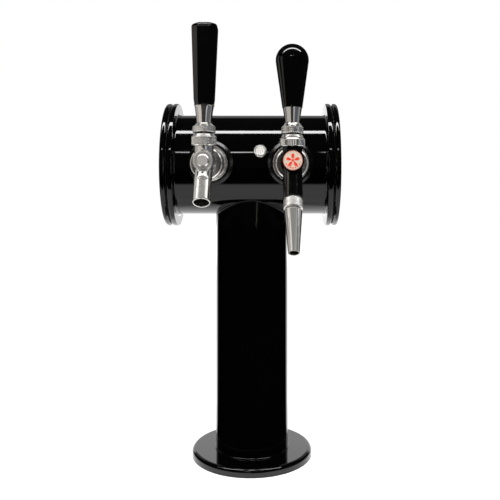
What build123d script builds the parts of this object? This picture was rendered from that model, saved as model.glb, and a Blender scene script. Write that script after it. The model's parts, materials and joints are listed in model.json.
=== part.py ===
from build123d import *

from math import cos, radians, sin, sqrt, tan
import os

# Two-tap T tower for draught drinks: base, column, header tube and two lever taps.
# Frame: millimetres, +Z up, origin at the centre of the base underside. The taps
# face -Y, and +X is to the right of someone who stands in front of them.

# ---------------------------------------------------------------- tower sizes
base_diameter = 147.0
base_thickness = 9.5
base_edge_radius = 4.5
column_diameter = 88.9
column_wall = 2.0
column_socket_depth = 3.0
header_height = 357.0  # header axis above the base underside
header_diameter = 122.0
header_wall = 2.5
header_length = 193.6
line_hole_inset = 6.45  # of the drum's underside opening, inside the column
lip_height = 14.5  # above the header tube
lip_width = 7.0
lip_edge_radius = 3.2
weld_cove = 2.6  # small weld fillet between header tube and lip
cap_gasket_thickness = 0.5
cap_spigot_length = 6.0
cap_screw_rise = 7.0  # screw centres above the header tube
cap_screw_count = 4
cap_screw_diameter = 4.0
cap_screw_length = 11.0
cap_screw_head_diameter = 7.6
cap_screw_socket = 2.6  # hexagon, across its corners
cap_screw_socket_depth = 1.4
cap_screw_blind_wall = 1.0  # metal left behind each tapped hole

mount_hole_inset = 16.0  # hole centres inside the edge of the base
mount_hole_count = 4
mount_hole_diameter = 6.8  # tapping size for M8
mount_hole_depth = 7.0
line_passage_inset = 8.45  # of the opening in the base, inside the column

insulation_bottom = 38.0
insulation_bore = 46.0

line_diameter = 8.0
line_wall = 1.0
line_spacing = 28.0  # between the two product tubes in the column
line_setback = 6.0  # how far the tubes run behind the column axis
line_turn_drop = 45.0  # from the header axis down to the corner of the bend
line_end_height = 4.0
line_bend_at_shank = 16.0
line_bend_in_column = 40.0

# ------------------------------------------------------------------ tap sizes
tap_spacing = 93.0
tap_rise = 2.2  # shank axis above the header axis
valve_rise = 3.3  # valve bore axis above the shank axis

bezel_diameter = 53.0
bezel_thickness = 5.5  # ahead of the header tube
bezel_edge_radius = 2.0

shank_thread_diameter = 22.0
shank_bore = 7.0
shank_flange_diameter = 41.0
shank_flange_thickness = 5.5
shank_flange_bevel = 2.6
shank_groove_diameter = 33.4  # outside of the turned groove
shank_groove_width = 0.8
shank_groove_depth = 0.8
shank_snout_diameter = 25.0
shank_snout_length = 33.5  # ahead of the bezel
shank_tail_length = 36.5  # behind the front of the bezel
line_socket_depth = 8.0
backing_washer_diameter = 34.0
backing_washer_thickness = 6.0
backing_saddle_depth = 4.5  # of the curved face that beds in the tube
shank_nut_width = 32.0
shank_nut_thickness = 7.0

coupling_diameter = 35.0
coupling_overlap = 5.0  # behind the front end of the shank
coupling_length = 18.0
coupling_lip = 6.0
coupling_edge = 1.2
coupling_gasket_thickness = 2.0
spanner_hole_diameter = 3.2
spanner_hole_depth = 3.0
spanner_hole_circle = 29.2
spanner_hole_count = 6

tail_flange_diameter = 28.8
tail_flange_thickness = 4.5
tail_neck_diameter = 23.0
barrel_diameter = 21.6
tail_length = 15.0  # from the front end of the shank to the barrel
left_barrel_length = 35.0
right_barrel_length = 38.4
barrel_front_edge = 0.6
barrel_back_edge = 1.5
neck_diameter = 20.5
neck_reach = 22.0  # from the back of the barrel to the lever axis
valve_bore = 13.0
valve_bore_setback = 8.0  # behind it the barrel holds the seat
seat_bore = 9.0
seat_thickness = 3.5
inlet_chamber_bore = 12.8
inlet_bore = 11.0
inlet_length = 2.0

# lever, measured from its pivot
lever_arm = 19.0  # from the valve axis up to the pivot
closed_lean = 5.0  # the closed lever leans back this far
lever_swing = 30.0  # from closed to fully open
ball_diameter = 15.0
lever_neck_diameter = 8.0
lever_top = 48.0
lever_stem_diameter = 4.4
lever_tip_diameter = 6.0
swing_room = 0.5  # left beside the lever in each slot it swings in

ball_washer_bottom = -1.2
bonnet_diameter = 26.4
bonnet_dome_radius = 13.8
bonnet_top = 13.4
bonnet_bottom = -3.7
bonnet_shoulder = 3.6
left_collar_diameter = 24.6
right_collar_diameter = 23.4
collar_edge = 0.5
collar_flare_radius = 6.5
collar_rim = 7.2
collar_bevel = 16.2
collar_top = 20.7
collar_top_diameter = 15.2
ferrule_bottom_diameter = 15.6
handle_spigot_diameter = 12.8

front_cap_plug_diameter = 16.6
front_cap_plug_depth = 2.2
shuttle_stem_diameter = 5.0
shuttle_land_setback = 18.5  # ahead of the back of the barrel
shuttle_land_length = 13.5
shuttle_head_diameter = 8.2
shuttle_head_thickness = 2.5
shuttle_flute_diameter = 3.2
shuttle_flute_count = 3
notch_shoulder = 0.8  # heights in the lever notch are above the valve axis
notch_relief = 0.6
notch_extra_slope = 3.0  # degrees past the open lever's lean
seat_washer_diameter = 11.6
seat_washer_thickness = 2.5

# left tap: swan spout and flat-sided handle
left_boss_diameter = 20.0
left_boss_thickness = 2.0
left_boss_edge = 0.6
left_boss_dish = 0.3  # the face falls away this much towards its edge
left_bead_diameter = 13.6
left_bead_width = 1.5
left_bead_height = 1.0
left_bead_flank = 0.35
left_spout_diameter = 18.6
left_spout_bore = 15.4
left_spout_start = (28.0, -4.8)  # ahead of the shank, above its axis
left_spout_bend = (48.0, -16.8)
left_spout_end = (64.0, -40.0)
left_spout_bend_radius = 14.0
left_spout_bore_share = 0.3  # of the first leg, where the bore begins
vent_diameter = 3.6
vent_slope = 46.6  # above horizontal
vent_reach = 12.0  # from the corner of the route, out through the wall
left_ferrule_length = 19.8
left_ferrule_diameter = 21.0
left_ferrule_belly = 0.5
left_handle_width_bottom = 20.4
left_handle_width_top = 27.2
left_handle_length = 85.3
left_handle_corner = 0.24  # share of the width taken by each corner facet
left_handle_edge_radius = 2.0

# right tap: restrictor spout and pear handle
right_boss_diameter = 23.8
right_boss_length = 13.4
right_cap_diameter = 21.8
right_cap_thickness = 2.0
medallion_diameter = 20.8
medallion_thickness = 1.2
medallion_edge_radius = 0.4
medallion_recess = 1.0
spout_slope = 33.7  # from vertical
spout_root = (37.0, -1.2)  # ahead of the shank, above its axis
right_tube_diameter = 20.2
right_tube_bore = 11.0
right_tube_length = 41.8
right_spigot_step = 1.9
right_spigot_length = 6.7
spout_collar_inset = 0.4  # below the surface of the tube
spout_collar_lip = 0.9
spout_collar_edge = 0.8
restrictor_thickness = 1.7
restrictor_hole_diameter = 1.6
restrictor_hole_circle = 6.4
restrictor_hole_count = 5
nozzle_flange_thickness = 2.8
nozzle_neck_step = 1.2
nozzle_neck_length = 2.4
nozzle_top_diameter = 17.8
nozzle_tip_diameter = 11.6
nozzle_tip_edge = 0.4
nozzle_length = 50.0  # below its flange
nozzle_bore_top = 12.0
nozzle_bore_tip = 8.8
nozzle_shoulder = 1.0
nozzle_straight_bore = 18.0
right_ferrule_length = 15.9
right_ferrule_diameter = 19.2
right_ferrule_belly = 0.1
pear_widest = (50.9, 17.55)  # above the ferrule, from the axis
pear_waist = (20.7, 13.4)
pear_height = 68.4
pear_root_slope = 0.27

# badge stud on the header tube
stud_across = 11.2
stud_angle = 15.0
stud_head_diameter = 15.0
stud_head_thickness = 3.4
stud_head_bevel = 1.4
stud_bevel_depth = 1.2
stud_rim_width = 0.4
stud_face_diameter = 10.6
stud_face_depth = 0.5
stud_shank_diameter = 6.0
stud_shank_length = 12.0
stud_nut_diameter = 13.0
stud_nut_thickness = 4.0

# ----------------------------------------------------------------- clearances
slip = 0.1  # radial, between a pushed-in or welded piece and its socket
thread_fit = 0.15  # radial, where one piece screws into another
running_fit = 0.05  # radial, between sliding or turning metal
free_gap = 0.3  # between pieces that must not touch
soft_gap = 0.3  # round foam and rubber
seam = 1.0  # how far one cut or rod runs on into the next

# -------------------------------------------------------------------- derived
column_radius = column_diameter / 2
header_radius = header_diameter / 2
header_inner_radius = header_radius - header_wall
half_header = header_length / 2
lip_diameter = header_diameter + 2 * lip_height
cap_screw_circle = header_diameter + 2 * cap_screw_rise
mount_hole_circle = base_diameter - 2 * mount_hole_inset
line_passage_diameter = column_diameter - 2 * line_passage_inset
header_line_hole_diameter = column_diameter - 2 * line_hole_inset
insulation_top = header_height - header_radius
line_turn_height = header_height - line_turn_drop

# heights above the base underside, and distances ahead of the header axis
shank_height = header_height + tap_rise
valve_height = shank_height + valve_rise
pivot_height = valve_height + lever_arm
bezel_front = header_radius + bezel_thickness
shank_tail_front = bezel_front - shank_tail_length
shank_front = bezel_front + shank_snout_length
coupling_back = shank_front - coupling_overlap
coupling_front = coupling_back + coupling_length
barrel_back = shank_front + tail_length
left_barrel_front = barrel_back + left_barrel_length
right_barrel_front = barrel_back + right_barrel_length
neck_front = barrel_back + neck_reach
valve_bore_back = barrel_back + valve_bore_setback
shuttle_land_back = barrel_back + shuttle_land_setback
shuttle_land_front = shuttle_land_back + shuttle_land_length

# heights above the lever pivot, and distances down the sloping outlet tube
left_ferrule_top = collar_top + left_ferrule_length
left_handle_top = left_ferrule_top + left_handle_length
right_ferrule_top = collar_top + right_ferrule_length
right_spigot_diameter = right_tube_diameter - 2 * right_spigot_step
nozzle_neck_diameter = right_spigot_diameter - 2 * nozzle_neck_step
spout_collar_diameter = right_tube_diameter - 2 * spout_collar_inset

open_lean = lever_swing - closed_lean
snug_line = line_diameter / 2 + running_fit

forward = (0, -1, 0)
lean_up = (0, sin(radians(closed_lean)), cos(radians(closed_lean)))
spout_down = (0, -sin(radians(spout_slope)), -cos(radians(spout_slope)))

os.makedirs("parts", exist_ok=True)


def save(piece, name):
    """Label a finished piece and write it under its node name."""
    piece.part.label = name
    export_step(piece.part, f"parts/{name}.step")


def axial(origin, direction):
    """A plane whose X runs along a shaft that lies in a fore-and-aft plane."""
    return Plane(origin, x_dir=direction, z_dir=(-1, 0, 0))


def cross_axial(side):
    """A plane whose X runs outwards along the header tube, to the side given."""
    return Plane((0, 0, header_height), x_dir=(side, 0, 0), z_dir=(0, side, 0))


def turn(plane, outline, mode=Mode.ADD):
    """Spin an outline of (distance, radius) corners about the plane's X axis."""
    with BuildSketch(plane) as section:
        with BuildLine():
            Polyline(*outline, close=True)
        make_face()
    revolve(section.sketch, axis=Axis(plane.origin, plane.x_dir), mode=mode)


def rod(plane, start, end, radius, mode=Mode.ADD):
    """A plain cylinder along the plane's X axis."""
    turn(plane, [(start, 0), (end, 0), (end, radius), (start, radius)], mode)


def tube(plane, start, end, outer, inner):
    """A plain sleeve along the plane's X axis."""
    turn(plane, [(start, inner), (end, inner), (end, outer), (start, outer)])


def swing_slot(plane, half_width, edge_offset, near, far, lean_front, lean_back):
    """Cut the fan that a rod sweeps between two leans, measured forward of the plane's Y."""
    front, back = radians(lean_front), radians(lean_back)
    far = (far + edge_offset) / cos((front - back) / 2)

    def edge(angle, side, reach):
        along_x, along_y = sin(angle) * reach, cos(angle) * reach
        return along_x + side * cos(angle) * edge_offset, along_y - side * sin(angle) * edge_offset

    with BuildSketch(plane) as fan:
        with BuildLine():
            Polyline(
                edge(back, -1, near),
                edge(back, -1, far),
                edge(front, 1, far),
                edge(front, 1, near),
                close=True,
            )
        make_face()
    extrude(fan.sketch, amount=half_width, both=True, mode=Mode.SUBTRACT)


# ------------------------------------------------------------ base and column
with BuildPart() as base_flange:
    Cylinder(base_diameter / 2, base_thickness, align=(Align.CENTER, Align.CENTER, Align.MIN))
    fillet(base_flange.edges().group_by(Axis.Z)[-1], base_edge_radius)
    with BuildSketch(Plane.XY.offset(base_thickness)):
        Circle(column_radius + slip)
    extrude(amount=-column_socket_depth, mode=Mode.SUBTRACT)
    with BuildSketch(Plane.XY):
        Circle(line_passage_diameter / 2)
        with PolarLocations(mount_hole_circle / 2, mount_hole_count, start_angle=45):
            Circle(mount_hole_diameter / 2)
    extrude(amount=mount_hole_depth, mode=Mode.SUBTRACT)
    with BuildSketch(Plane.XY):
        Circle(line_passage_diameter / 2)
    extrude(amount=base_thickness, mode=Mode.SUBTRACT)
save(base_flange, "base_flange")

with BuildPart() as column_tube:
    with BuildSketch(Plane.XY.offset(base_thickness - column_socket_depth)):
        Circle(column_radius)
        Circle(column_radius - column_wall, mode=Mode.SUBTRACT)
    extrude(amount=header_height - base_thickness + column_socket_depth)
    rod(cross_axial(1), -half_header, half_header, header_radius, Mode.SUBTRACT)
save(column_tube, "column_tube")

with BuildPart() as column_insulation:
    with BuildSketch(Plane.XY.offset(insulation_bottom)):
        Circle(column_radius - column_wall - soft_gap)
        Circle(insulation_bore / 2, mode=Mode.SUBTRACT)
    extrude(amount=insulation_top - insulation_bottom)
save(column_insulation, "column_insulation")

# --------------------------------------------------------------- header tube
stud_rise = radians(stud_angle)
stud_direction = (0, -cos(stud_rise), sin(stud_rise))
stud_plane = axial((stud_across, 0, header_height), stud_direction)

with BuildPart() as header_tube:
    tube(cross_axial(1), -half_header, half_header, header_radius, header_inner_radius)
    with BuildSketch(Plane.XY.offset(header_height - header_radius)):
        Circle(header_line_hole_diameter / 2)
    extrude(amount=header_radius, mode=Mode.SUBTRACT)
    for tap_x in (-tap_spacing / 2, tap_spacing / 2):
        shank_line = axial((tap_x, 0, shank_height), forward)
        rod(shank_line, 0, header_radius, shank_thread_diameter / 2 + free_gap, Mode.SUBTRACT)
    rod(stud_plane, 0, header_radius, stud_shank_diameter / 2 + slip, Mode.SUBTRACT)
save(header_tube, "header_tube")


def cap_screw_places(side, distance):
    """Screw centres on a plane square to the header tube, ready for a sketch."""
    return Plane((side * distance, 0, header_height), x_dir=(0, side, 0), z_dir=(side, 0, 0))


def make_header_end(side, prefix):
    """Everything that closes one end of the header tube, except the screws and gaskets."""
    lip_inner = half_header - lip_width
    with BuildPart() as flange_ring:
        tube(cross_axial(side), lip_inner, half_header, lip_diameter / 2, header_radius + slip)
        rims = flange_ring.edges().filter_by(GeomType.CIRCLE).group_by(SortBy.RADIUS)[-1]
        fillet(rims, lip_edge_radius)
        with BuildSketch(cross_axial(side)) as cove:
            with BuildLine():
                seat_radius = header_radius + slip
                dip = weld_cove * (1 - sqrt(0.5))
                Polyline(
                    (lip_inner - weld_cove, seat_radius),
                    (lip_inner, seat_radius),
                    (lip_inner, seat_radius + weld_cove),
                )
                ThreePointArc(
                    (lip_inner, seat_radius + weld_cove),
                    (lip_inner - dip, seat_radius + dip),
                    (lip_inner - weld_cove, seat_radius),
                )
            make_face()
        revolve(cove.sketch, axis=Axis(cross_axial(side).origin, (side, 0, 0)))
        with BuildSketch(cap_screw_places(side, half_header)) as tapped:
            with PolarLocations(cap_screw_circle / 2, cap_screw_count, start_angle=45):
                Circle(cap_screw_diameter / 2)
        extrude(tapped.sketch, amount=cap_screw_blind_wall - lip_width, mode=Mode.SUBTRACT)
    save(flange_ring, f"{prefix}_flange_ring")

    cap_inner = half_header + cap_gasket_thickness
    cap_outer = cap_inner + lip_width
    with BuildPart() as end_cap:
        rod(cross_axial(side), cap_inner, cap_outer, lip_diameter / 2)
        fillet(end_cap.edges().filter_by(GeomType.CIRCLE), lip_edge_radius)
        spigot_radius = header_inner_radius - free_gap
        tube(
            cross_axial(side),
            cap_inner - cap_spigot_length,
            cap_inner,
            spigot_radius,
            spigot_radius - header_wall,
        )
        with Locations(cap_screw_places(side, cap_outer)):
            with PolarLocations(cap_screw_circle / 2, cap_screw_count, start_angle=45):
                CounterSinkHole(
                    cap_screw_diameter / 2 + thread_fit,
                    cap_screw_head_diameter / 2 + thread_fit,
                    depth=lip_width,
                )
    save(end_cap, f"{prefix}_end_cap")
    return cap_outer


header_end = make_header_end(-1, "left")
make_header_end(1, "right")

with BuildPart() as end_cap_gaskets:
    for side in (-1, 1):
        with BuildSketch(cap_screw_places(side, half_header)) as ring:
            Circle(lip_diameter / 2 - lip_edge_radius)
            Circle(header_inner_radius, mode=Mode.SUBTRACT)
            with PolarLocations(cap_screw_circle / 2, cap_screw_count, start_angle=45):
                Circle(cap_screw_diameter / 2 + soft_gap, mode=Mode.SUBTRACT)
        extrude(ring.sketch, amount=cap_gasket_thickness)
save(end_cap_gaskets, "end_cap_gaskets")

with BuildPart() as end_cap_screws:
    head_radius = cap_screw_head_diameter / 2
    screw_radius = cap_screw_diameter / 2 - running_fit
    head_depth = head_radius - screw_radius
    for side in (-1, 1):
        places = cap_screw_places(side, header_end)
        with Locations(places):
            with PolarLocations(cap_screw_circle / 2, cap_screw_count, start_angle=45):
                with Locations((0, 0, -head_depth / 2)):
                    Cone(screw_radius, head_radius, head_depth)
                with Locations((0, 0, -(head_depth + cap_screw_length) / 2)):
                    Cylinder(screw_radius, cap_screw_length - head_depth)
        with BuildSketch(places) as sockets:
            with PolarLocations(cap_screw_circle / 2, cap_screw_count, start_angle=45):
                RegularPolygon(cap_screw_socket / 2, 6)
        extrude(sockets.sketch, amount=-cap_screw_socket_depth, mode=Mode.SUBTRACT)
save(end_cap_screws, "end_cap_screws")

# ---------------------------------------------------------------- badge stud
with BuildPart() as badge_stud:
    head_radius = stud_head_diameter / 2
    head_end = header_radius + stud_head_thickness
    turn(
        stud_plane,
        [
            (header_radius - seam, 0),
            (head_end - stud_face_depth, 0),
            (head_end - stud_face_depth, stud_face_diameter / 2),
            (head_end, head_radius - stud_head_bevel - stud_rim_width),
            (head_end, head_radius - stud_head_bevel),
            (head_end - stud_bevel_depth, head_radius),
            (header_radius - seam, head_radius),
        ],
    )
    rod(cross_axial(1), -half_header, half_header, header_radius, Mode.SUBTRACT)
    stud_tail = header_radius - stud_shank_length
    rod(stud_plane, stud_tail, header_radius + seam, stud_shank_diameter / 2)
save(badge_stud, "badge_stud")

with BuildPart() as badge_stud_nut:
    nut_front = sqrt(header_inner_radius**2 - (stud_nut_diameter / 2) ** 2)
    with BuildSketch(Plane(stud_plane.from_local_coords((nut_front, 0, 0)), z_dir=stud_direction)):
        RegularPolygon(stud_nut_diameter / 2, 6)
        Circle(stud_shank_diameter / 2 + thread_fit, mode=Mode.SUBTRACT)
    extrude(amount=-stud_nut_thickness)
save(badge_stud_nut, "badge_stud_nut")


# ------------------------------------------------------- mounting of each tap
def make_tap_mounting(x, prefix):
    """Bezel, shank and the parts that clamp them to the header tube."""
    line = axial((x, 0, shank_height), forward)
    thread_radius = shank_thread_diameter / 2
    snout_radius = shank_snout_diameter / 2

    with BuildPart() as bezel:
        tube(line, 0, bezel_front, bezel_diameter / 2, thread_radius + free_gap)
        fillet(bezel.edges().group_by(Axis.Y)[0].sort_by(SortBy.RADIUS)[-1], bezel_edge_radius)
        rod(cross_axial(1), -half_header, half_header, header_radius, Mode.SUBTRACT)
    save(bezel, f"{prefix}_bezel")

    with BuildPart() as shank:
        flange_radius = shank_flange_diameter / 2
        flange_front = bezel_front + shank_flange_thickness
        groove_radius = shank_groove_diameter / 2
        rim_front = flange_front - shank_flange_bevel
        groove_front = flange_front - shank_groove_depth
        turn(
            line,
            [
                (shank_tail_front, 0),
                (shank_front, 0),
                (shank_front, snout_radius),
                (flange_front, snout_radius),
                (flange_front, groove_radius - shank_groove_width - shank_groove_depth),
                (groove_front, groove_radius - shank_groove_width),
                (groove_front - shank_groove_depth, groove_radius - shank_groove_width),
                (groove_front - shank_groove_depth, groove_radius),
                (groove_front, groove_radius),
                (rim_front, flange_radius),
                (bezel_front, flange_radius),
                (bezel_front, thread_radius),
                (shank_tail_front, thread_radius),
            ],
        )
        rod(line, shank_tail_front, shank_front, shank_bore / 2, Mode.SUBTRACT)
        socket_end = shank_tail_front + line_socket_depth
        rod(line, shank_tail_front, socket_end, snug_line, Mode.SUBTRACT)
    save(shank, f"{prefix}_shank")

    washer_back = header_inner_radius - backing_saddle_depth - backing_washer_thickness
    with BuildPart() as backing_washer:
        inner = thread_radius + free_gap
        tube(line, washer_back, header_radius, backing_washer_diameter / 2, inner)
        rod(
            cross_axial(1),
            -half_header,
            half_header,
            header_inner_radius - running_fit,
            Mode.INTERSECT,
        )
    save(backing_washer, f"{prefix}_backing_washer")

    with BuildPart() as shank_nut:
        with BuildSketch(Plane(line.from_local_coords((washer_back, 0, 0)), z_dir=forward)):
            RegularPolygon(shank_nut_width / 2, 6, major_radius=False)
            Circle(thread_radius + thread_fit, mode=Mode.SUBTRACT)
        extrude(amount=-shank_nut_thickness)
    save(shank_nut, f"{prefix}_shank_nut")

    inner_shoulder = coupling_front - coupling_lip
    with BuildPart() as coupling_nut:
        turn(
            line,
            [
                (coupling_back, snout_radius + thread_fit),
                (shank_front + seam, snout_radius + thread_fit),
                (shank_front + seam, tail_flange_diameter / 2 + free_gap),
                (inner_shoulder, tail_flange_diameter / 2 + free_gap),
                (inner_shoulder, tail_neck_diameter / 2 + free_gap),
                (coupling_front, tail_neck_diameter / 2 + free_gap),
                (coupling_front, coupling_diameter / 2 - coupling_edge),
                (coupling_front - coupling_edge, coupling_diameter / 2),
                (coupling_back + coupling_edge, coupling_diameter / 2),
                (coupling_back, coupling_diameter / 2 - coupling_edge),
            ],
        )
        face = Plane(line.from_local_coords((coupling_front, 0, 0)), z_dir=forward)
        with BuildSketch(face) as holes:
            with PolarLocations(spanner_hole_circle / 2, spanner_hole_count):
                Circle(spanner_hole_diameter / 2)
        extrude(holes.sketch, amount=-spanner_hole_depth, mode=Mode.SUBTRACT)
    save(coupling_nut, f"{prefix}_coupling_nut")

    with BuildPart() as coupling_gasket:
        gasket_end = shank_front + coupling_gasket_thickness
        tube(line, shank_front, gasket_end, snout_radius - soft_gap, inlet_bore / 2)
    save(coupling_gasket, f"{prefix}_coupling_gasket")


def make_product_line(x, column_x, prefix):
    """The tube that carries the drink from the base up to the shank."""
    with BuildPart() as product_line:
        with BuildLine() as route:
            FilletPolyline(
                (x, -(shank_tail_front + line_socket_depth), shank_height),
                (x, line_setback, shank_height),
                (column_x, line_setback, line_turn_height),
                (column_x, line_setback, line_end_height),
                radius=[line_bend_at_shank, line_bend_in_column],
            )
        with BuildSketch(route.line ^ 0):
            Circle(line_diameter / 2)
            Circle(line_diameter / 2 - line_wall, mode=Mode.SUBTRACT)
        sweep(path=route.line)
    save(product_line, f"{prefix}_product_line")


# ----------------------------------------------------------- valve and lever
def add_body_top(x, barrel_front):
    """Coupling tail, valve barrel and lever neck, common to both tap bodies."""
    line = axial((x, 0, shank_height), forward)
    valve = axial((x, 0, valve_height), forward)
    tail_back = shank_front + coupling_gasket_thickness
    tail_front = tail_back + tail_flange_thickness
    rod(line, tail_back, tail_front, tail_flange_diameter / 2)
    rod(line, tail_front, barrel_back, tail_neck_diameter / 2)
    turn(
        valve,
        [
            (barrel_back, 0),
            (barrel_front, 0),
            (barrel_front, barrel_diameter / 2 - barrel_front_edge),
            (barrel_front - barrel_front_edge, barrel_diameter / 2),
            (barrel_back + barrel_back_edge, barrel_diameter / 2),
            (barrel_back, barrel_diameter / 2 - barrel_back_edge),
        ],
    )
    pivot = axial((x, -neck_front, pivot_height), (0, 0, 1))
    rod(pivot, -lever_arm, ball_washer_bottom, neck_diameter / 2)


def cut_body_bores(x, barrel_front):
    """Valve bore, seat, inlet and the cavity in which the lever stem swings."""
    line = axial((x, 0, shank_height), forward)
    valve = axial((x, 0, valve_height), forward)
    seat_back = valve_bore_back - seat_thickness
    tail_back = shank_front + coupling_gasket_thickness
    chamber_back = tail_back + inlet_length
    rod(line, tail_back, chamber_back + seam, inlet_bore / 2, Mode.SUBTRACT)
    rod(valve, chamber_back, seat_back, inlet_chamber_bore / 2, Mode.SUBTRACT)
    rod(valve, seat_back, valve_bore_back, seat_bore / 2, Mode.SUBTRACT)
    rod(valve, valve_bore_back, barrel_front, valve_bore / 2, Mode.SUBTRACT)
    plug_radius = front_cap_plug_diameter / 2 + thread_fit
    rod(valve, barrel_front - front_cap_plug_depth, barrel_front, plug_radius, Mode.SUBTRACT)
    pivot = (x, -neck_front, pivot_height)
    with Locations(pivot):
        Sphere(ball_diameter / 2 + running_fit, mode=Mode.SUBTRACT)
    upside_down = axial(pivot, (0, 1, 0))
    stem_room = lever_stem_diameter / 2 + swing_room
    slot_start = ball_diameter / 3
    swing_slot(upside_down, stem_room, stem_room, slot_start, lever_arm, open_lean, -closed_lean)


def make_shuttle(x, prefix):
    """Sliding valve stem with its rubber seat washer."""
    valve = axial((x, 0, valve_height), forward)
    seat_back = valve_bore_back - seat_thickness
    washer_back = seat_back - seat_washer_thickness
    tip_front = neck_front + lever_arm * sin(radians(closed_lean))
    tip_room = lever_tip_diameter / 2 + free_gap
    land_radius = valve_bore / 2 - running_fit

    with BuildPart() as shuttle:
        stem = shuttle_stem_diameter / 2
        head_back = washer_back - shuttle_head_thickness
        rod(valve, head_back, shuttle_land_back, stem)
        rod(valve, head_back, washer_back, shuttle_head_diameter / 2)
        rod(valve, shuttle_land_back, shuttle_land_front, land_radius)
        with BuildSketch(axial((x, -tip_front, valve_height), forward)) as notch:
            with BuildLine():
                slope = tan(radians(open_lean + notch_extra_slope))
                reach = valve_bore / 2
                Polyline(
                    (-tip_room, -tip_room),
                    (tip_room, -tip_room),
                    (tip_room, notch_shoulder),
                    (tip_room + slope * (reach - notch_shoulder), reach),
                    (-tip_room - notch_relief, reach),
                    (-tip_room, 0),
                    close=True,
                )
            make_face()
        extrude(notch.sketch, amount=tip_room, both=True, mode=Mode.SUBTRACT)
        with BuildSketch(Plane((x, -shuttle_land_front, valve_height), z_dir=(0, 1, 0))) as flutes:
            with PolarLocations(land_radius, shuttle_flute_count, start_angle=-30):
                Circle(shuttle_flute_diameter / 2)
        extrude(
            flutes.sketch,
            amount=shuttle_land_front - shuttle_land_back,
            mode=Mode.SUBTRACT,
        )
    save(shuttle, f"{prefix}_shuttle")

    with BuildPart() as seat_washer:
        tube(valve, washer_back, seat_back, seat_washer_diameter / 2, stem)
    save(seat_washer, f"{prefix}_seat_washer")


def make_lever_parts(x, prefix, collar_diameter):
    """Ball lever, its washer and bonnet, and the collar above."""
    pivot = (x, -neck_front, pivot_height)
    upright = axial(pivot, (0, 0, 1))
    leaning = axial(pivot, lean_up)
    neck = lever_neck_diameter / 2
    stem = lever_stem_diameter / 2

    with BuildPart() as ball_washer:
        washer_radius = neck_diameter / 2 - running_fit
        rod(upright, ball_washer_bottom, bonnet_shoulder, washer_radius)
        with Locations(pivot):
            Sphere(ball_diameter / 2 + running_fit, mode=Mode.SUBTRACT)
    save(ball_washer, f"{prefix}_ball_washer")

    with BuildPart() as bonnet:
        rod(upright, bonnet_bottom, bonnet_top, bonnet_diameter / 2)
        rod(upright, bonnet_bottom, bonnet_shoulder, neck_diameter / 2 + running_fit, Mode.SUBTRACT)
        with Locations(pivot):
            Sphere(ball_diameter / 2 + free_gap, mode=Mode.SUBTRACT)
        neck_room = neck + swing_room
        slot_start = ball_diameter / 3
        facing = axial(pivot, forward)
        reach = bonnet_dome_radius
        swing_slot(facing, neck_room, neck_room, slot_start, reach, open_lean, -closed_lean)
        with Locations(pivot):
            Sphere(bonnet_dome_radius, mode=Mode.INTERSECT)
    save(bonnet, f"{prefix}_bonnet")

    with BuildPart() as lever:
        with Locations(pivot):
            Sphere(ball_diameter / 2)
        rod(leaning, 0, lever_top, neck)
        rod(leaning, -lever_arm, 0, stem)
        with Locations(leaning.from_local_coords((-lever_arm, 0, 0))):
            Sphere(lever_tip_diameter / 2)
    save(lever, f"{prefix}_lever")

    with BuildPart() as collar:
        collar_radius = collar_diameter / 2
        top_radius = collar_top_diameter / 2
        bore = neck + running_fit
        flare_foot = (collar_bevel, collar_radius - collar_edge)
        with BuildSketch(leaning) as section:
            with BuildLine():
                Polyline(
                    (collar_top, top_radius),
                    (collar_top, bore),
                    (collar_rim, bore),
                    (collar_rim, collar_radius),
                    (collar_bevel - collar_edge, collar_radius),
                    flare_foot,
                )
                RadiusArc(flare_foot, (collar_top, top_radius), collar_flare_radius)
            make_face()
        revolve(section.sketch, axis=Axis(leaning.origin, leaning.x_dir))
        with Locations(pivot):
            Sphere(bonnet_dome_radius + free_gap, mode=Mode.SUBTRACT)
    save(collar, f"{prefix}_collar")


for tap_side, tap_name, tap_collar in (
    (-1, "left", left_collar_diameter),
    (1, "right", right_collar_diameter),
):
    tap_x = tap_side * tap_spacing / 2
    make_tap_mounting(tap_x, tap_name)
    make_product_line(tap_x, tap_side * line_spacing / 2, tap_name)
    make_shuttle(tap_x, tap_name)
    make_lever_parts(tap_x, tap_name, tap_collar)


# ------------------------------------------------------------------- left tap
def make_left_body(x):
    """Valve body cast in one with its swan spout."""
    side_view = axial((x, -shank_front, shank_height), forward)
    spout_radius = left_spout_diameter / 2
    bore_radius = left_spout_bore / 2
    corners = (left_spout_start, left_spout_bend, left_spout_end)
    start, bend, end = (side_view.from_local_coords(corner) for corner in corners)
    bore_start = start + (bend - start) * left_spout_bore_share

    with BuildPart() as body:
        add_body_top(x, left_barrel_front)
        for first, radius, mode in (
            (start, spout_radius, Mode.ADD),
            (bore_start, bore_radius, Mode.SUBTRACT),
        ):
            with BuildLine() as route:
                FilletPolyline(first, bend, end, radius=left_spout_bend_radius)
            with BuildSketch(route.line ^ 0) as ring:
                Circle(radius)
            sweep(ring.sketch, path=route.line, mode=mode)
            with Locations(first):
                Sphere(radius, mode=mode)
        vent_angle = radians(vent_slope)
        vent_line = axial(bend, (0, -cos(vent_angle), sin(vent_angle)))
        rod(vent_line, 0, vent_reach, vent_diameter / 2, Mode.SUBTRACT)
        cut_body_bores(x, left_barrel_front)
    save(body, "left_tap_body")


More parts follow.
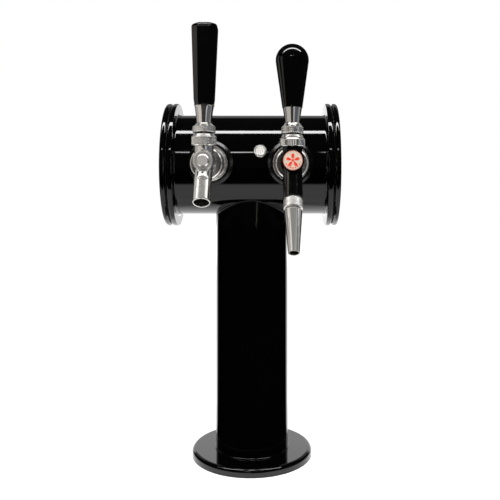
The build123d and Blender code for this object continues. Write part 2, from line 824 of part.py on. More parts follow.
def make_left_front_cap(x):
    """Screwed plug that closes the valve bore, with a raised bead on its face."""
    valve = axial((x, 0, valve_height), forward)
    face = left_barrel_front + left_boss_thickness
    bead_outer = left_bead_diameter / 2 + left_bead_width / 2
    bead_inner = bead_outer - left_bead_width
    plug_back = left_barrel_front - front_cap_plug_depth + slip
    edge_front = face - left_boss_dish
    edge_radius = left_boss_diameter / 2
    with BuildPart() as cap:
        rod(valve, plug_back, left_barrel_front, front_cap_plug_diameter / 2)
        turn(
            valve,
            [
                (left_barrel_front, 0),
                (face, 0),
                (face, bead_inner - left_bead_flank),
                (face + left_bead_height, bead_inner + left_bead_flank),
                (face + left_bead_height, bead_outer - left_bead_flank),
                (face, bead_outer + left_bead_flank),
                (edge_front, edge_radius - left_boss_edge),
                (edge_front - left_boss_edge, edge_radius),
                (left_barrel_front, edge_radius),
            ],
        )
    save(cap, "left_front_cap")


def make_left_handle(x):
    """Flat-sided handle that widens upwards, and the ferrule under it."""
    pivot = (x, -neck_front, pivot_height)
    leaning = axial(pivot, lean_up)
    bore = lever_neck_diameter / 2 + running_fit
    spigot = handle_spigot_diameter / 2

    with BuildPart() as handle:
        for height, width in (
            (left_ferrule_top, left_handle_width_bottom),
            (left_handle_top, left_handle_width_top),
        ):
            centre = leaning.from_local_coords((height, 0, 0))
            with BuildSketch(Plane(centre, x_dir=(1, 0, 0), z_dir=lean_up)) as section:
                Rectangle(width, width)
                chamfer(section.vertices(), width * left_handle_corner)
        loft()
        top_rim = handle.faces().sort_by(Axis.Z)[-1].edges()
        fillet(top_rim, left_handle_edge_radius)
        rod(leaning, collar_top + slip, left_ferrule_top, spigot)
        rod(leaning, collar_top + slip, lever_top + seam, bore, Mode.SUBTRACT)
    save(handle, "left_handle")
    rim = (left_ferrule_top - slip, left_ferrule_diameter / 2)
    make_ferrule(leaning, spigot, rim, left_ferrule_belly, "left")


def make_ferrule(leaning, spigot, rim, belly, prefix):
    """Metal sleeve between collar and handle, a cone with a slight belly."""
    bottom = (collar_top + slip, ferrule_bottom_diameter / 2)
    middle = ((bottom[0] + rim[0]) / 2, (bottom[1] + rim[1]) / 2 + belly)
    with BuildPart() as ferrule:
        with BuildSketch(leaning) as section:
            with BuildLine():
                ThreePointArc(bottom, middle, rim)
                Polyline(rim, (rim[0], spigot + slip), (bottom[0], spigot + slip), bottom)
            make_face()
        revolve(section.sketch, axis=Axis(leaning.origin, leaning.x_dir))
    save(ferrule, f"{prefix}_ferrule")


# ------------------------------------------------------------------ right tap
def sloping_outlet(x):
    """A plane whose X runs down the axis of the outlet tube."""
    ahead, above = spout_root
    return axial((x, -shank_front - ahead, shank_height + above), spout_down)


def make_right_body(x):
    """Black valve body with a round boss and a straight sloping outlet tube."""
    valve = axial((x, 0, valve_height), forward)
    spout_line = sloping_outlet(x)
    spigot_end = right_tube_length + right_spigot_length
    with BuildPart() as body:
        add_body_top(x, right_barrel_front)
        boss_back = right_barrel_front - right_boss_length
        rod(valve, boss_back, right_barrel_front, right_boss_diameter / 2)
        rod(spout_line, 0, right_tube_length, right_tube_diameter / 2)
        rod(spout_line, right_tube_length, spigot_end, right_spigot_diameter / 2)
        rod(spout_line, 0, spigot_end, right_tube_bore / 2, Mode.SUBTRACT)
        cut_body_bores(x, right_barrel_front)
    save(body, "right_tap_body")


def make_right_front_cap(x):
    """Black plug with a shallow tray, and the round medallion in the tray."""
    valve = axial((x, 0, valve_height), forward)
    face = right_barrel_front + right_cap_thickness
    plug_back = right_barrel_front - front_cap_plug_depth + slip
    tray = medallion_diameter / 2 + slip
    tray_floor = face - medallion_recess
    with BuildPart() as cap:
        rod(valve, plug_back, right_barrel_front, front_cap_plug_diameter / 2)
        rod(valve, right_barrel_front, face, right_cap_diameter / 2)
        rod(valve, tray_floor, face, tray, Mode.SUBTRACT)
    save(cap, "right_front_cap")

    with BuildPart() as medallion:
        rod(valve, tray_floor, tray_floor + medallion_thickness, medallion_diameter / 2)
        fillet(medallion.edges().group_by(Axis.Y)[0], medallion_edge_radius)
    save(medallion, "right_medallion")


def make_restrictor_spout(x):
    """Collar, restrictor plate and tapered nozzle under the right tap."""
    spout_line = sloping_outlet(x)
    plate_top = right_tube_length + right_spigot_length
    flange_top = plate_top + restrictor_thickness
    flange_end = flange_top + nozzle_flange_thickness
    collar_end = flange_end + slip + spout_collar_lip
    flange_radius = right_spigot_diameter / 2 - slip

    with BuildPart() as spout_collar:
        outer = spout_collar_diameter / 2
        start = right_tube_length + slip
        turn(
            spout_line,
            [
                (start, right_spigot_diameter / 2 + thread_fit),
                (flange_end + slip, right_spigot_diameter / 2 + thread_fit),
                (flange_end + slip, nozzle_neck_diameter / 2 + slip),
                (collar_end, nozzle_neck_diameter / 2 + slip),
                (collar_end, outer - spout_collar_edge),
                (collar_end - spout_collar_edge, outer),
                (start + spout_collar_edge, outer),
                (start, outer - spout_collar_edge),
            ],
        )
    save(spout_collar, "right_spout_collar")

    with BuildPart() as restrictor_plate:
        plate_plane = Plane(spout_line.from_local_coords((plate_top, 0, 0)), z_dir=spout_down)
        with BuildSketch(plate_plane):
            Circle(flange_radius)
            with PolarLocations(restrictor_hole_circle / 2, restrictor_hole_count):
                Circle(restrictor_hole_diameter / 2, mode=Mode.SUBTRACT)
        extrude(amount=restrictor_thickness)
    save(restrictor_plate, "right_restrictor_plate")

    with BuildPart() as nozzle:
        neck_end = flange_end + nozzle_neck_length
        nozzle_end = flange_end + nozzle_length
        straight = nozzle_end - nozzle_straight_bore
        turn(
            spout_line,
            [
                (flange_top, nozzle_bore_top / 2),
                (straight, nozzle_bore_tip / 2),
                (nozzle_end, nozzle_bore_tip / 2),
                (nozzle_end, nozzle_tip_diameter / 2 - nozzle_tip_edge),
                (nozzle_end - nozzle_tip_edge, nozzle_tip_diameter / 2),
                (neck_end + nozzle_shoulder, nozzle_top_diameter / 2),
                (neck_end, nozzle_neck_diameter / 2),
                (flange_end, nozzle_neck_diameter / 2),
                (flange_end, flange_radius),
                (flange_top, flange_radius),
            ],
        )
    save(nozzle, "right_nozzle")


def make_right_handle(x):
    """Pear-shaped handle, and the ferrule under it."""
    pivot = (x, -neck_front, pivot_height)
    leaning = axial(pivot, lean_up)
    bore = lever_neck_diameter / 2 + running_fit
    spigot = handle_spigot_diameter / 2
    root = (right_ferrule_top, right_ferrule_diameter / 2)
    waist = (right_ferrule_top + pear_waist[0], pear_waist[1])
    widest_height, widest_radius = right_ferrule_top + pear_widest[0], pear_widest[1]
    top = right_ferrule_top + pear_height

    with BuildPart() as handle:
        with BuildSketch(leaning) as section:
            with BuildLine():
                Line((top, 0), (right_ferrule_top, 0))
                Line((right_ferrule_top, 0), root)
                widest = (widest_height, widest_radius)
                Spline(root, waist, widest, tangents=[(1, pear_root_slope), (1, 0)])
                centre = (widest_height, 0)
                EllipticalCenterArc(centre, top - widest_height, widest_radius, arc_size=90)
            make_face()
        revolve(section.sketch, axis=Axis(leaning.origin, leaning.x_dir))
        rod(leaning, collar_top + slip, right_ferrule_top, spigot)
        rod(leaning, collar_top + slip, lever_top + seam, bore, Mode.SUBTRACT)
    save(handle, "right_handle")
    rim = (right_ferrule_top - slip, right_ferrule_diameter / 2)
    make_ferrule(leaning, spigot, rim, right_ferrule_belly, "right")


left_x, right_x = -tap_spacing / 2, tap_spacing / 2
make_left_body(left_x)
make_left_front_cap(left_x)
make_left_handle(left_x)
make_right_body(right_x)
make_right_front_cap(right_x)
make_restrictor_spout(right_x)
make_right_handle(right_x)
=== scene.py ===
import json
import math

import bmesh
import bpy
import numpy as np
from mathutils import Matrix, Vector

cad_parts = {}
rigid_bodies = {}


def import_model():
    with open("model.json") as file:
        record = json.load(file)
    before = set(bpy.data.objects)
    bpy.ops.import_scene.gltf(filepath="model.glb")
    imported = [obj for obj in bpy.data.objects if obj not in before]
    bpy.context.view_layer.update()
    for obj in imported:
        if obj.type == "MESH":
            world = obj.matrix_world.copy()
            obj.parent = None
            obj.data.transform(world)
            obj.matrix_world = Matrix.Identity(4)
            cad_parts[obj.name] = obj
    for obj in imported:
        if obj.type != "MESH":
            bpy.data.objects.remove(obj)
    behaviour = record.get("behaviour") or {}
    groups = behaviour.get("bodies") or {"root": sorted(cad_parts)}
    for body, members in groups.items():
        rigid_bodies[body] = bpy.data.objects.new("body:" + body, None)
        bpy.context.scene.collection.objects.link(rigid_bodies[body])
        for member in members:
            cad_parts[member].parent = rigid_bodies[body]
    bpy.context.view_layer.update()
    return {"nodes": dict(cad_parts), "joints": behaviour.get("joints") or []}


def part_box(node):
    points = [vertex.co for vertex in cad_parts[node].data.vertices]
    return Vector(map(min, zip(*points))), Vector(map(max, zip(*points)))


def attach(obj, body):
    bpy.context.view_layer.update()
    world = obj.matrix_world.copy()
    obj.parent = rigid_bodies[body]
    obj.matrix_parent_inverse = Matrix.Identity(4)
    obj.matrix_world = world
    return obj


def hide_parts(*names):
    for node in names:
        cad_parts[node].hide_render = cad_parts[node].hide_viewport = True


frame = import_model()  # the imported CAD, each node in its place
nodes = frame["nodes"]
mm = 0.001
print("frame loaded:", len(nodes), "nodes")


def linearColour(hexText):
    channels = [int(hexText[i:i + 2], 16) / 255 for i in (1, 3, 5)]
    linear = [c / 12.92 if c < 0.04045 else ((c + 0.055) / 1.055) ** 2.4 for c in channels]
    return (*linear, 1.0)


def addNode(tree, kind, inputs=None, **settings):
    # an input takes a value, a socket, or a node, whose first output then feeds it
    node = tree.nodes.new(kind)
    for name, value in settings.items():
        setattr(node, name, value)
    for key, value in (inputs or {}).items():
        source = value.outputs[0] if isinstance(value, bpy.types.Node) else value
        if isinstance(source, bpy.types.NodeSocket):
            tree.links.new(source, node.inputs[key])
        else:
            node.inputs[key].default_value = source
    return node


def newMaterial(name, colour, metallic, roughness):
    # the shader's own IOR of 1.5 suits the lacquer, the enamel and the plastics
    material = bpy.data.materials.new(name)
    material.use_nodes = True
    shader = material.node_tree.nodes["Principled BSDF"]
    shader.inputs["Base Color"].default_value = linearColour(colour)
    shader.inputs["Metallic"].default_value = metallic
    shader.inputs["Roughness"].default_value = roughness
    return material, material.node_tree, shader


def placePattern(tree, drawn=1.0):
    # object coordinates in millimetres; drawn pulls the pattern out along the piece's height
    place = addNode(tree, "ShaderNodeTexCoord").outputs["Object"]
    return addNode(tree, "ShaderNodeMapping", {"Vector": place, "Scale": (1 / mm, 1 / mm, drawn / mm)})


def makeFinish(name, colour, roughness, metallic=1.0, haze=3.0, hazeDetail=4.0, grain=1.0, grainDetail=3.0,
               depth=0.006, strength=0.5, drawn=1.0):
    # patches of haze (mm across) move the roughness from smoothest to roughest, and grain (mm across)
    # is pressed in to its depth in mm
    material, tree, shader = newMaterial(name, colour, metallic, sum(roughness) / 2)
    place = placePattern(tree, drawn)
    patches = addNode(tree, "ShaderNodeTexNoise", {"Vector": place, "Scale": 1 / haze, "Detail": hazeDetail})
    ranged = addNode(tree, "ShaderNodeMapRange", {"Value": patches, "From Min": 0.3, "From Max": 0.7,
                                                  "To Min": roughness[0], "To Max": roughness[1]})
    relief = addNode(tree, "ShaderNodeTexNoise", {"Vector": place, "Scale": 1 / grain, "Detail": grainDetail})
    bump = addNode(tree, "ShaderNodeBump", {"Height": relief, "Distance": depth * mm, "Strength": strength})
    tree.links.new(ranged.outputs[0], shader.inputs["Roughness"])
    tree.links.new(bump.outputs[0], shader.inputs["Normal"])
    return material


enamel = {"ground": ("#f0e6d2", "#dcc3ae"), "figure": ("#ff4a28", "#e2301c"), "rim": "#dd9484",
          "roughness": 0.28, "mottle": 1.1, "depth": 0.01, "strength": 0.4, "silveriness": 0.15}


def makeEnamel(e):
    # stamped badge: red enamel in the raised figure, silvery cream ground, copper-pink rim
    material, tree, shader = newMaterial("stampedEnamelBadge", e["figure"][1], 0.0, e["roughness"])
    grain = addNode(tree, "ShaderNodeTexNoise", {"Vector": placePattern(tree), "Scale": 1 / e["mottle"],
                                                 "Detail": 3.0})
    mottle = addNode(tree, "ShaderNodeMapRange", {"Value": grain, "From Min": 0.3, "From Max": 0.7})
    shades = []
    for light, dark in (e["ground"], e["figure"]):
        mixed = addNode(tree, "ShaderNodeMix", {0: mottle, 6: linearColour(light), 7: linearColour(dark)},
                        data_type="RGBA")
        shades.append(mixed.outputs[2])
    red = addNode(tree, "ShaderNodeAttribute", attribute_name="redEnamel").outputs["Fac"]
    rim = addNode(tree, "ShaderNodeAttribute", attribute_name="rim").outputs["Fac"]
    painted = addNode(tree, "ShaderNodeMix", {0: red, 6: shades[0], 7: shades[1]}, data_type="RGBA")
    edged = addNode(tree, "ShaderNodeMix", {0: rim, 6: painted.outputs[2], 7: linearColour(e["rim"])},
                    data_type="RGBA")
    bare = addNode(tree, "ShaderNodeMath", {0: 1.0, 1: red}, operation="SUBTRACT")
    silvery = addNode(tree, "ShaderNodeMath", {0: bare, 1: e["silveriness"]}, operation="MULTIPLY")
    bump = addNode(tree, "ShaderNodeBump", {"Height": mottle, "Distance": e["depth"] * mm,
                                            "Strength": e["strength"]})
    tree.links.new(edged.outputs[2], shader.inputs["Base Color"])
    tree.links.new(silvery.outputs[0], shader.inputs["Metallic"])
    tree.links.new(bump.outputs[0], shader.inputs["Normal"])
    return material


latheMarks = {"haze": 1.2, "grain": 1.2, "grainDetail": 4.0, "depth": 0.008}
beltMarks = {"haze": 0.35, "hazeDetail": 3.0, "grain": 0.35, "depth": 0.003, "strength": 0.35, "drawn": 0.04}

finishes = {
    # stoved wet-look lacquer on steel: mirror-black, a trace of orange peel, faint wipe marks
    "black_lacquer": makeFinish("stovedBlackLacquer", "#030303", (0.03, 0.075), metallic=0.0, haze=22.0,
                                grain=2.2, grainDetail=2.0, depth=0.004, strength=0.35),
    # moulded phenolic, polished: deep black with a soft skin
    "black_handle": makeFinish("polishedBlackPhenolic", "#040404", (0.08, 0.14), metallic=0.0, haze=9.0,
                               hazeDetail=3.0, grain=1.4, grainDetail=2.0, depth=0.004, strength=0.3),
    # moulded ABS: satin skin that spreads the lamps into grey bands
    "satinBlack": makeFinish("satinMouldedAbs", "#050505", (0.24, 0.31), metallic=0.0, haze=6.0,
                             hazeDetail=3.0, grain=0.9, grainDetail=2.0, depth=0.004, strength=0.3),
    # cast and buffed stainless: bright, with slow buffing waves
    "chrome": makeFinish("buffedCastStainless", "#c9c7c3", (0.15, 0.27), grain=2.5, depth=0.01),
    # lightly brushed stainless of the small fittings: a soft even shine
    "stainless": makeFinish("brushedStainless", "#bfbdb9", (0.21, 0.378), grain=0.8),
    # turned brass: warm and finely scored
    "brass": makeFinish("turnedBrass", "#b8923f", (0.24, 0.36), haze=0.6, hazeDetail=3.0, grain=0.6,
                        depth=0.01, strength=0.6),
    "red_enamel": makeEnamel(enamel),
    # off the lathe: a fine haze softens the lamps' edges
    "turned": makeFinish("latheTurnedStainless", "#cfcdc9", (0.17, 0.23), **latheMarks),
    # faced with a coarse tool: dull, so the cap's face goes grey as a whole
    "faced": makeFinish("facedStainless", "#c8c6c2", (0.391, 0.529), **latheMarks),
    # bead blasted: pale and nearly matt
    "blasted": makeFinish("beadBlastedStainless", "#eeece8", (0.51, 0.69), **latheMarks),
    # nickel plate over knurling: each tooth glints
    "knurled": makeFinish("knurledNickelPlate", "#cbc9c5", (0.1725, 0.3105)),
    # satin finished: broad soft light
    "satinSteel": makeFinish("satinStainless", "#e4e2de", (0.285, 0.513), grain=1.5, depth=0.003),
    # polished chrome plate: dark and white bands with sharp edges
    "mirror": makeFinish("polishedChromePlate", "#d2d1ce", (0.0675, 0.1215), grain=1.8, depth=0.008),
    # drawn along its length on a belt: streaks that run with the piece, coarser than the real grit leaves
    "brushed": makeFinish("beltBrushedStainless", "#cbc9c5", (0.117, 0.1495), **beltMarks),
    "fineBrushed": makeFinish("fineBrushedStainless", "#b6b4b0", (0.135, 0.1725), **beltMarks),
    # closed cell foam: matt, pitted where its cells are cut
    "foam": makeFinish("closedCellFoam", "#3d3f42", (0.72, 1.0), metallic=0.0, haze=0.9, hazeDetail=3.0,
                       grain=0.9, depth=0.2, strength=0.6),
    # moulded nitrile rubber: dull black
    "rubber": makeFinish("mouldedNitrileRubber", "#17181a", (0.48, 0.72), metallic=0.0, haze=0.7,
                         hazeDetail=3.0, grain=0.7, depth=0.02, strength=0.6),
    # turned nylon: milky and faintly scored
    "nylon": makeFinish("turnedNylon", "#e4e1d6", (0.36, 0.54), metallic=0.0, haze=0.8, hazeDetail=3.0,
                        grain=0.8, depth=0.02, strength=0.6),
}
for name, part in nodes.items():
    slotName = part.material_slots[0].material.name.split(".")[0]
    part.material_slots[0].material = finishes["black_handle" if name == "right_tap_body" else slotName]
print("materials made:", len(finishes))


# outlines are in millimetres, as (distance along the axis, radius, edge radius)
def rounded(corners, steps=5):
    # every corner with an edge radius becomes an arc
    points = []
    for index, (along, radius, edge) in enumerate(corners):
        here = Vector((along, radius))
        if edge <= 0:
            points.append(here)
            continue
        back = (Vector(corners[index - 1][:2]) - here).normalized()
        ahead = (Vector(corners[(index + 1) % len(corners)][:2]) - here).normalized()
        half = back.angle(ahead) / 2
        centre = here + (back + ahead).normalized() * (edge / math.sin(half))
        start = (here + back * (edge / math.tan(half)) - centre).normalized()
        end = (here + ahead * (edge / math.tan(half)) - centre).normalized()
        points += [centre + start.slerp(end, step / steps) * edge for step in range(steps + 1)]
    return points


def arcPoints(centre, radius, startAngle, endAngle, steps):
    angles = np.radians(np.linspace(startAngle, endAngle, steps + 1))
    return [(centre[0] + radius * math.cos(a), centre[1] + radius * math.sin(a), 0) for a in angles]


def evenPoints(start, end, radius, spacing):
    count = max(1, round(abs(end - start) / spacing))
    return [(start + (end - start) * i / count, radius, 0) for i in range(count + 1)]


def shaft(origin, direction):
    # a place whose Z runs along the shaft
    axis = Vector(direction).normalized()
    across = Vector((1, 0, 0)) if abs(axis.x) < 0.5 else Vector((0, 1, 0))
    turned = Matrix((across, axis.cross(across), axis)).transposed().to_4x4()
    return Matrix.Translation(Vector(origin) * mm) @ turned


def joinRings(mesh, rings, loop):
    pairs = list(zip(rings, rings[1:])) + ([(rings[-1], rings[0])] if loop else [])
    for low, high in pairs:
        count = max(len(low), len(high))
        for i in range(count):
            j = (i + 1) % count
            corners = [low[i % len(low)], low[j % len(low)], high[j % len(high)], high[i % len(high)]]
            mesh.faces.new(list(dict.fromkeys(corners)))


def lathe(name, outline, segments=128):
    mesh = bmesh.new()
    angles = [2 * math.pi * i / segments for i in range(segments)]
    rings = []
    for along, radius in outline:
        spun = angles if radius > 1e-6 else [0.0]
        rings.append([mesh.verts.new((radius * math.cos(a) * mm, radius * math.sin(a) * mm, along * mm))
                      for a in spun])
    joinRings(mesh, rings, loop=len(rings[0]) > 1 and len(rings[-1]) > 1)
    return asObject(mesh, name)


def loft(name, sections):
    # closed sections as lists of (x, y, z) in millimetres; both ends are capped
    mesh = bmesh.new()
    rings = [[mesh.verts.new(Vector(p) * mm) for p in section] for section in sections]
    joinRings(mesh, rings, loop=False)
    for ring in (rings[0], rings[-1]):
        middle = mesh.verts.new(sum((v.co for v in ring), Vector()) / len(ring))
        for i, corner in enumerate(ring):
            mesh.faces.new((corner, ring[(i + 1) % len(ring)], middle))
    return asObject(mesh, name)


def asObject(mesh, name):
    bmesh.ops.remove_doubles(mesh, verts=mesh.verts, dist=1e-7)
    bmesh.ops.recalc_face_normals(mesh, faces=mesh.faces)
    data = bpy.data.meshes.new(name)
    mesh.to_mesh(data)
    mesh.free()
    piece = bpy.data.objects.new(name, data)
    bpy.context.scene.collection.objects.link(piece)
    return piece


def settle(piece):
    # turns the piece's modifiers into plain mesh
    bpy.context.view_layer.update()
    graph = bpy.context.evaluated_depsgraph_get()
    made = bpy.data.meshes.new_from_object(piece.evaluated_get(graph), depsgraph=graph)
    piece.modifiers.clear()
    piece.data = made
    made.name = piece.name


def finishPiece(piece, place, finish, body, replaced, sharp=32.0):
    piece.data.transform(place)
    piece.data.materials.clear()
    piece.data.materials.append(finishes[finish])
    piece.data.polygons.foreach_set("use_smooth", [True] * len(piece.data.polygons))
    piece.data.set_sharp_from_angle(angle=math.radians(sharp))
    evened = piece.modifiers.new("evened", "WEIGHTED_NORMAL")
    evened.keep_sharp = True
    settle(piece)
    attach(piece, body)
    if replaced:
        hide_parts(*replaced)


# knurling presses crossed teeth into the outer wall of a turned ring
knurlInputs = ("Teeth", "Slant", "Depth", "Start", "End", "Radius")
wallReach = 0.05 * mm  # what lies less deep than this counts as the outer wall


def makeKnurlTree():
    tree = bpy.data.node_groups.new("pressKnurl", "GeometryNodeTree")
    face = tree.interface
    face.new_socket("Geometry", in_out="INPUT", socket_type="NodeSocketGeometry")
    for name in knurlInputs:
        face.new_socket(name, in_out="INPUT", socket_type="NodeSocketFloat")
    face.new_socket("Material", in_out="INPUT", socket_type="NodeSocketMaterial")
    face.new_socket("Geometry", in_out="OUTPUT", socket_type="NodeSocketGeometry")
    given = addNode(tree, "NodeGroupInput").outputs
    place = addNode(tree, "GeometryNodeInputPosition")
    across, upward, along = addNode(tree, "ShaderNodeSeparateXYZ", {0: place}).outputs
    flat = addNode(tree, "ShaderNodeCombineXYZ", {0: across, 1: upward})
    reach = addNode(tree, "ShaderNodeVectorMath", {0: flat}, operation="LENGTH").outputs["Value"]
    outward = addNode(tree, "ShaderNodeVectorMath", {0: flat}, operation="NORMALIZE")
    values = {"across": across, "upward": upward, "along": along, "reach": reach}
    values.update((name, given[name]) for name in knurlInputs)
    # two sets of ridges climb in opposite senses, and a tooth stands where both are high
    for result, operation, first, second in (
            ("angle", "ARCTAN2", "upward", "across"),
            ("perTurn", "DIVIDE", "Teeth", 2 * math.pi),
            ("turns", "MULTIPLY", "angle", "perTurn"),
            ("climb", "MULTIPLY", "along", "Slant"),
            ("rising", "ADD", "turns", "climb"),
            ("falling", "SUBTRACT", "turns", "climb"),
            ("risingRidge", "PINGPONG", "rising", 0.5),
            ("fallingRidge", "PINGPONG", "falling", 0.5),
            ("halfRidge", "MINIMUM", "risingRidge", "fallingRidge"),
            ("ridge", "MULTIPLY", "halfRidge", 2.0),
            ("below", "SUBTRACT", "ridge", 1.0),
            ("sunk", "MULTIPLY", "below", "Depth"),
            ("afterStart", "GREATER_THAN", "along", "Start"),
            ("beforeEnd", "LESS_THAN", "along", "End"),
            ("inBand", "MULTIPLY", "afterStart", "beforeEnd"),
            ("wall", "SUBTRACT", "Radius", wallReach),
            ("onWall", "GREATER_THAN", "reach", "wall"),
            ("where", "MULTIPLY", "inBand", "onWall"),
            ("push", "MULTIPLY", "sunk", "where")):
        inputs = {0: values.get(first, first), 1: values.get(second, second)}
        values[result] = addNode(tree, "ShaderNodeMath", inputs, operation=operation)
    offset = addNode(tree, "ShaderNodeVectorMath", {0: outward, "Scale": values["push"]}, operation="SCALE")
    pressed = addNode(tree, "GeometryNodeSetPosition", {"Geometry": given["Geometry"], "Offset": offset})
    realized = addNode(tree, "GeometryNodeRealizeInstances", {0: pressed})
    coated = addNode(tree, "GeometryNodeSetMaterial", {"Geometry": realized, "Material": given["Material"]})
    addNode(tree, "NodeGroupOutput", {0: coated})
    return tree


knurlTree = makeKnurlTree()


def knurl(piece, k, radius, start, end):
    values = {"Teeth": float(k["teeth"]), "Slant": k["slant"] / mm, "Depth": k["depth"] * mm,
              "Start": start * mm, "End": end * mm, "Radius": radius * mm, "Material": finishes["knurled"]}
    grown = piece.modifiers.new("knurl", "NODES")
    grown.node_group = knurlTree
    for socket in knurlTree.interface.items_tree:
        if socket.in_out == "INPUT" and socket.name in values:
            grown[socket.identifier] = values[socket.name]
    settle(piece)


def middleHeight(node):
    low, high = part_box(node)
    return (low.z + high.z) / 2 / mm


# places in millimetres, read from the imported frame
drumLow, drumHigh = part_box("header_tube")
drumHeight = middleHeight("header_tube")
drumRadius = (drumHigh.z - drumLow.z) / 2 / mm
halfDrum = drumHigh.x / mm
shankHeight = middleHeight("left_coupling_nut")
valveHeight = middleHeight("left_front_cap")
bezelFront = -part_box("left_bezel")[0].y / mm
pivots = {joint["child"]: Vector(joint["pos_m"]) / mm for joint in frame["joints"] if "pos_m" in joint}
closedLean = math.radians(5)


def tapPlace(side, height):
    # on a tap's middle plane, with Z running forward from the drum's axis
    return shaft((pivots[side + "_lever_set"].x, 0, height), (0, -1, 0))


def leverPlace(side):
    # on a lever's pivot, with Z running up the closed lever
    return shaft(pivots[side + "_lever_set"], (0, math.sin(closedLean), math.cos(closedLean)))


# flange rings: the inner lip of each drum end, crisp towards the taps, soft outwards
flangeRing = {"outer": 75.5, "width": 7.0, "outEdge": 3.2, "inEdge": 0.9, "cove": 2.6, "seat": 61.1,
              "segments": 192}


def makeFlangeRings(f):
    start = halfDrum - f["width"]
    for side, name in ((-1, "left"), (1, "right")):
        cove = [(start - f["cove"] * (1 - math.sin(a)), f["seat"] + f["cove"] * (1 - math.cos(a)), 0)
                for a in np.linspace(0, math.pi / 2, 6)]
        outline = rounded([(halfDrum, f["seat"], 0), *cove, (start, f["outer"], f["inEdge"]),
                           (halfDrum, f["outer"], f["outEdge"])], steps=8)
        ring = lathe(name + "FlangeRing", outline, f["segments"])
        finishPiece(ring, shaft((0, 0, drumHeight), (side, 0, 0)), "black_lacquer",
                    "tower", [name + "_flange_ring"])


# welds: fine ground beads where the column meets the drum and the base
weld = {"column": 44.45, "saddle": 0.9, "foot": 1.3, "stations": 144, "around": 16}


def makeWelds(w):
    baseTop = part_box("base_flange")[1].z / mm
    up = Vector((0, 0, 1))
    for name, bead in (("saddleWeld", w["saddle"]), ("footWeld", w["foot"])):
        mesh = bmesh.new()
        rings = []
        for turn in np.linspace(0, 2 * math.pi, w["stations"], endpoint=False):
            out = Vector((math.cos(turn), math.sin(turn), 0))
            middle = out * w["column"]
            underDrum = drumHeight - math.sqrt(drumRadius ** 2 - middle.y ** 2)
            middle.z = underDrum if name == "saddleWeld" else baseTop
            rings.append([mesh.verts.new((middle + bead * (math.cos(a) * out + math.sin(a) * up)) * mm)
                          for a in np.linspace(0, 2 * math.pi, w["around"], endpoint=False)])
        joinRings(mesh, rings, loop=True)
        finishPiece(asObject(mesh, name), Matrix.Identity(4), "black_lacquer", "tower", [],
                    sharp=60)


# bezels: rose plates with a wide bevel, their backs bedded on the drum
bezel = {"diameter": 53.0, "bore": 22.6, "boreEdge": 0.3, "bevel": 3.2, "bevelDepth": 2.8, "soft": 0.4,
         "segments": 160}


def makeBezels(b):
    outer, bore = b["diameter"] / 2, b["bore"] / 2
    for name in ("left", "right"):
        outline = rounded([(0, bore, 0), (bezelFront, bore, b["boreEdge"]),
                           (bezelFront, outer - b["bevel"], b["soft"]),
                           (bezelFront - b["bevelDepth"], outer, b["soft"]), (0, outer, 0)], steps=4)
        plate = lathe(name + "Bezel", outline, b["segments"])
        for corner in plate.data.vertices:  # the back follows the drum
            if corner.co.z < 1e-6:
                height = corner.co.y / mm + shankHeight - drumHeight
                corner.co.z = math.sqrt(drumRadius ** 2 - height ** 2) * mm
        finishPiece(plate, tapPlace(name, shankHeight), "satinBlack", "tower",
                    [name + "_bezel"])


# shanks: a turned flange with two grooves, a plain snout in front of it and a threaded tail behind,
# whose thread is cut from threadStart and stops threadShy before the bezel's front
shank = {"tailBack": 30.0, "front": 100.0, "thread": 11.0, "bore": 3.5, "flange": 20.5, "flangeFront": 72.0,
         "snout": 12.5, "grooves": ((18.2, 1.4), (16.1, 0.6)), "grooveDepth": 1.6, "grooveFlare": 0.15,
         "hub": 14.2, "hubDepth": 0.7, "flangeEdge": 0.5, "threadStart": 30.5, "threadPitch": 1.8,
         "threadDepth": 0.9, "threadShy": 6.0}  # grooves as (radius, width)


def threadPoints(start, end, radius, pitch, depth):
    count = int((end - start) / pitch)
    points = []
    for i in range(count):
        foot = start + i * pitch
        points += [(foot, radius - depth, 0), *((foot + pitch * share, radius, 0) for share in (0.4, 0.6))]
    return points + [(start + count * pitch, radius - depth, 0)]


def makeShanks(s):
    for name in ("left", "right"):
        front = s["flangeFront"]
        face = []
        for middle, width in reversed(s["grooves"]):
            inner, outer, floor = middle - width / 2, middle + width / 2, front - s["grooveDepth"]
            face += [(front, inner - s["grooveFlare"], 0.12), (floor, inner, 0.1),
                     (floor, outer, 0.1), (front, outer + s["grooveFlare"], 0.12)]
        thread = threadPoints(s["threadStart"], bezelFront - s["threadShy"], s["thread"], s["threadPitch"],
                              s["threadDepth"])
        outline = rounded([
            (s["tailBack"], s["bore"], 0), (s["front"], s["bore"], 0.3), (s["front"], s["snout"], 0.6),
            (front - s["hubDepth"], s["snout"], 0.2), (front, s["hub"], 0.4), *face,
            (front, s["flange"], s["flangeEdge"]), (bezelFront, s["flange"], 0.2),
            (bezelFront, s["thread"], 0), *reversed(thread)], steps=3)
        piece = lathe(name + "Shank", outline)
        finishPiece(piece, tapPlace(name, shankHeight), "mirror", "tower", [name + "_shank"])


# badge stud on the drum
stud = {"across": 11.2, "slope": 15.0, "radius": 7.5, "thick": 3.4, "edge": 1.3, "face": 5.3, "land": 0.5,
        "dish": 0.5, "stem": 3.0, "stemLength": 12.0, "underStem": 1.2, "underRim": 0.6}


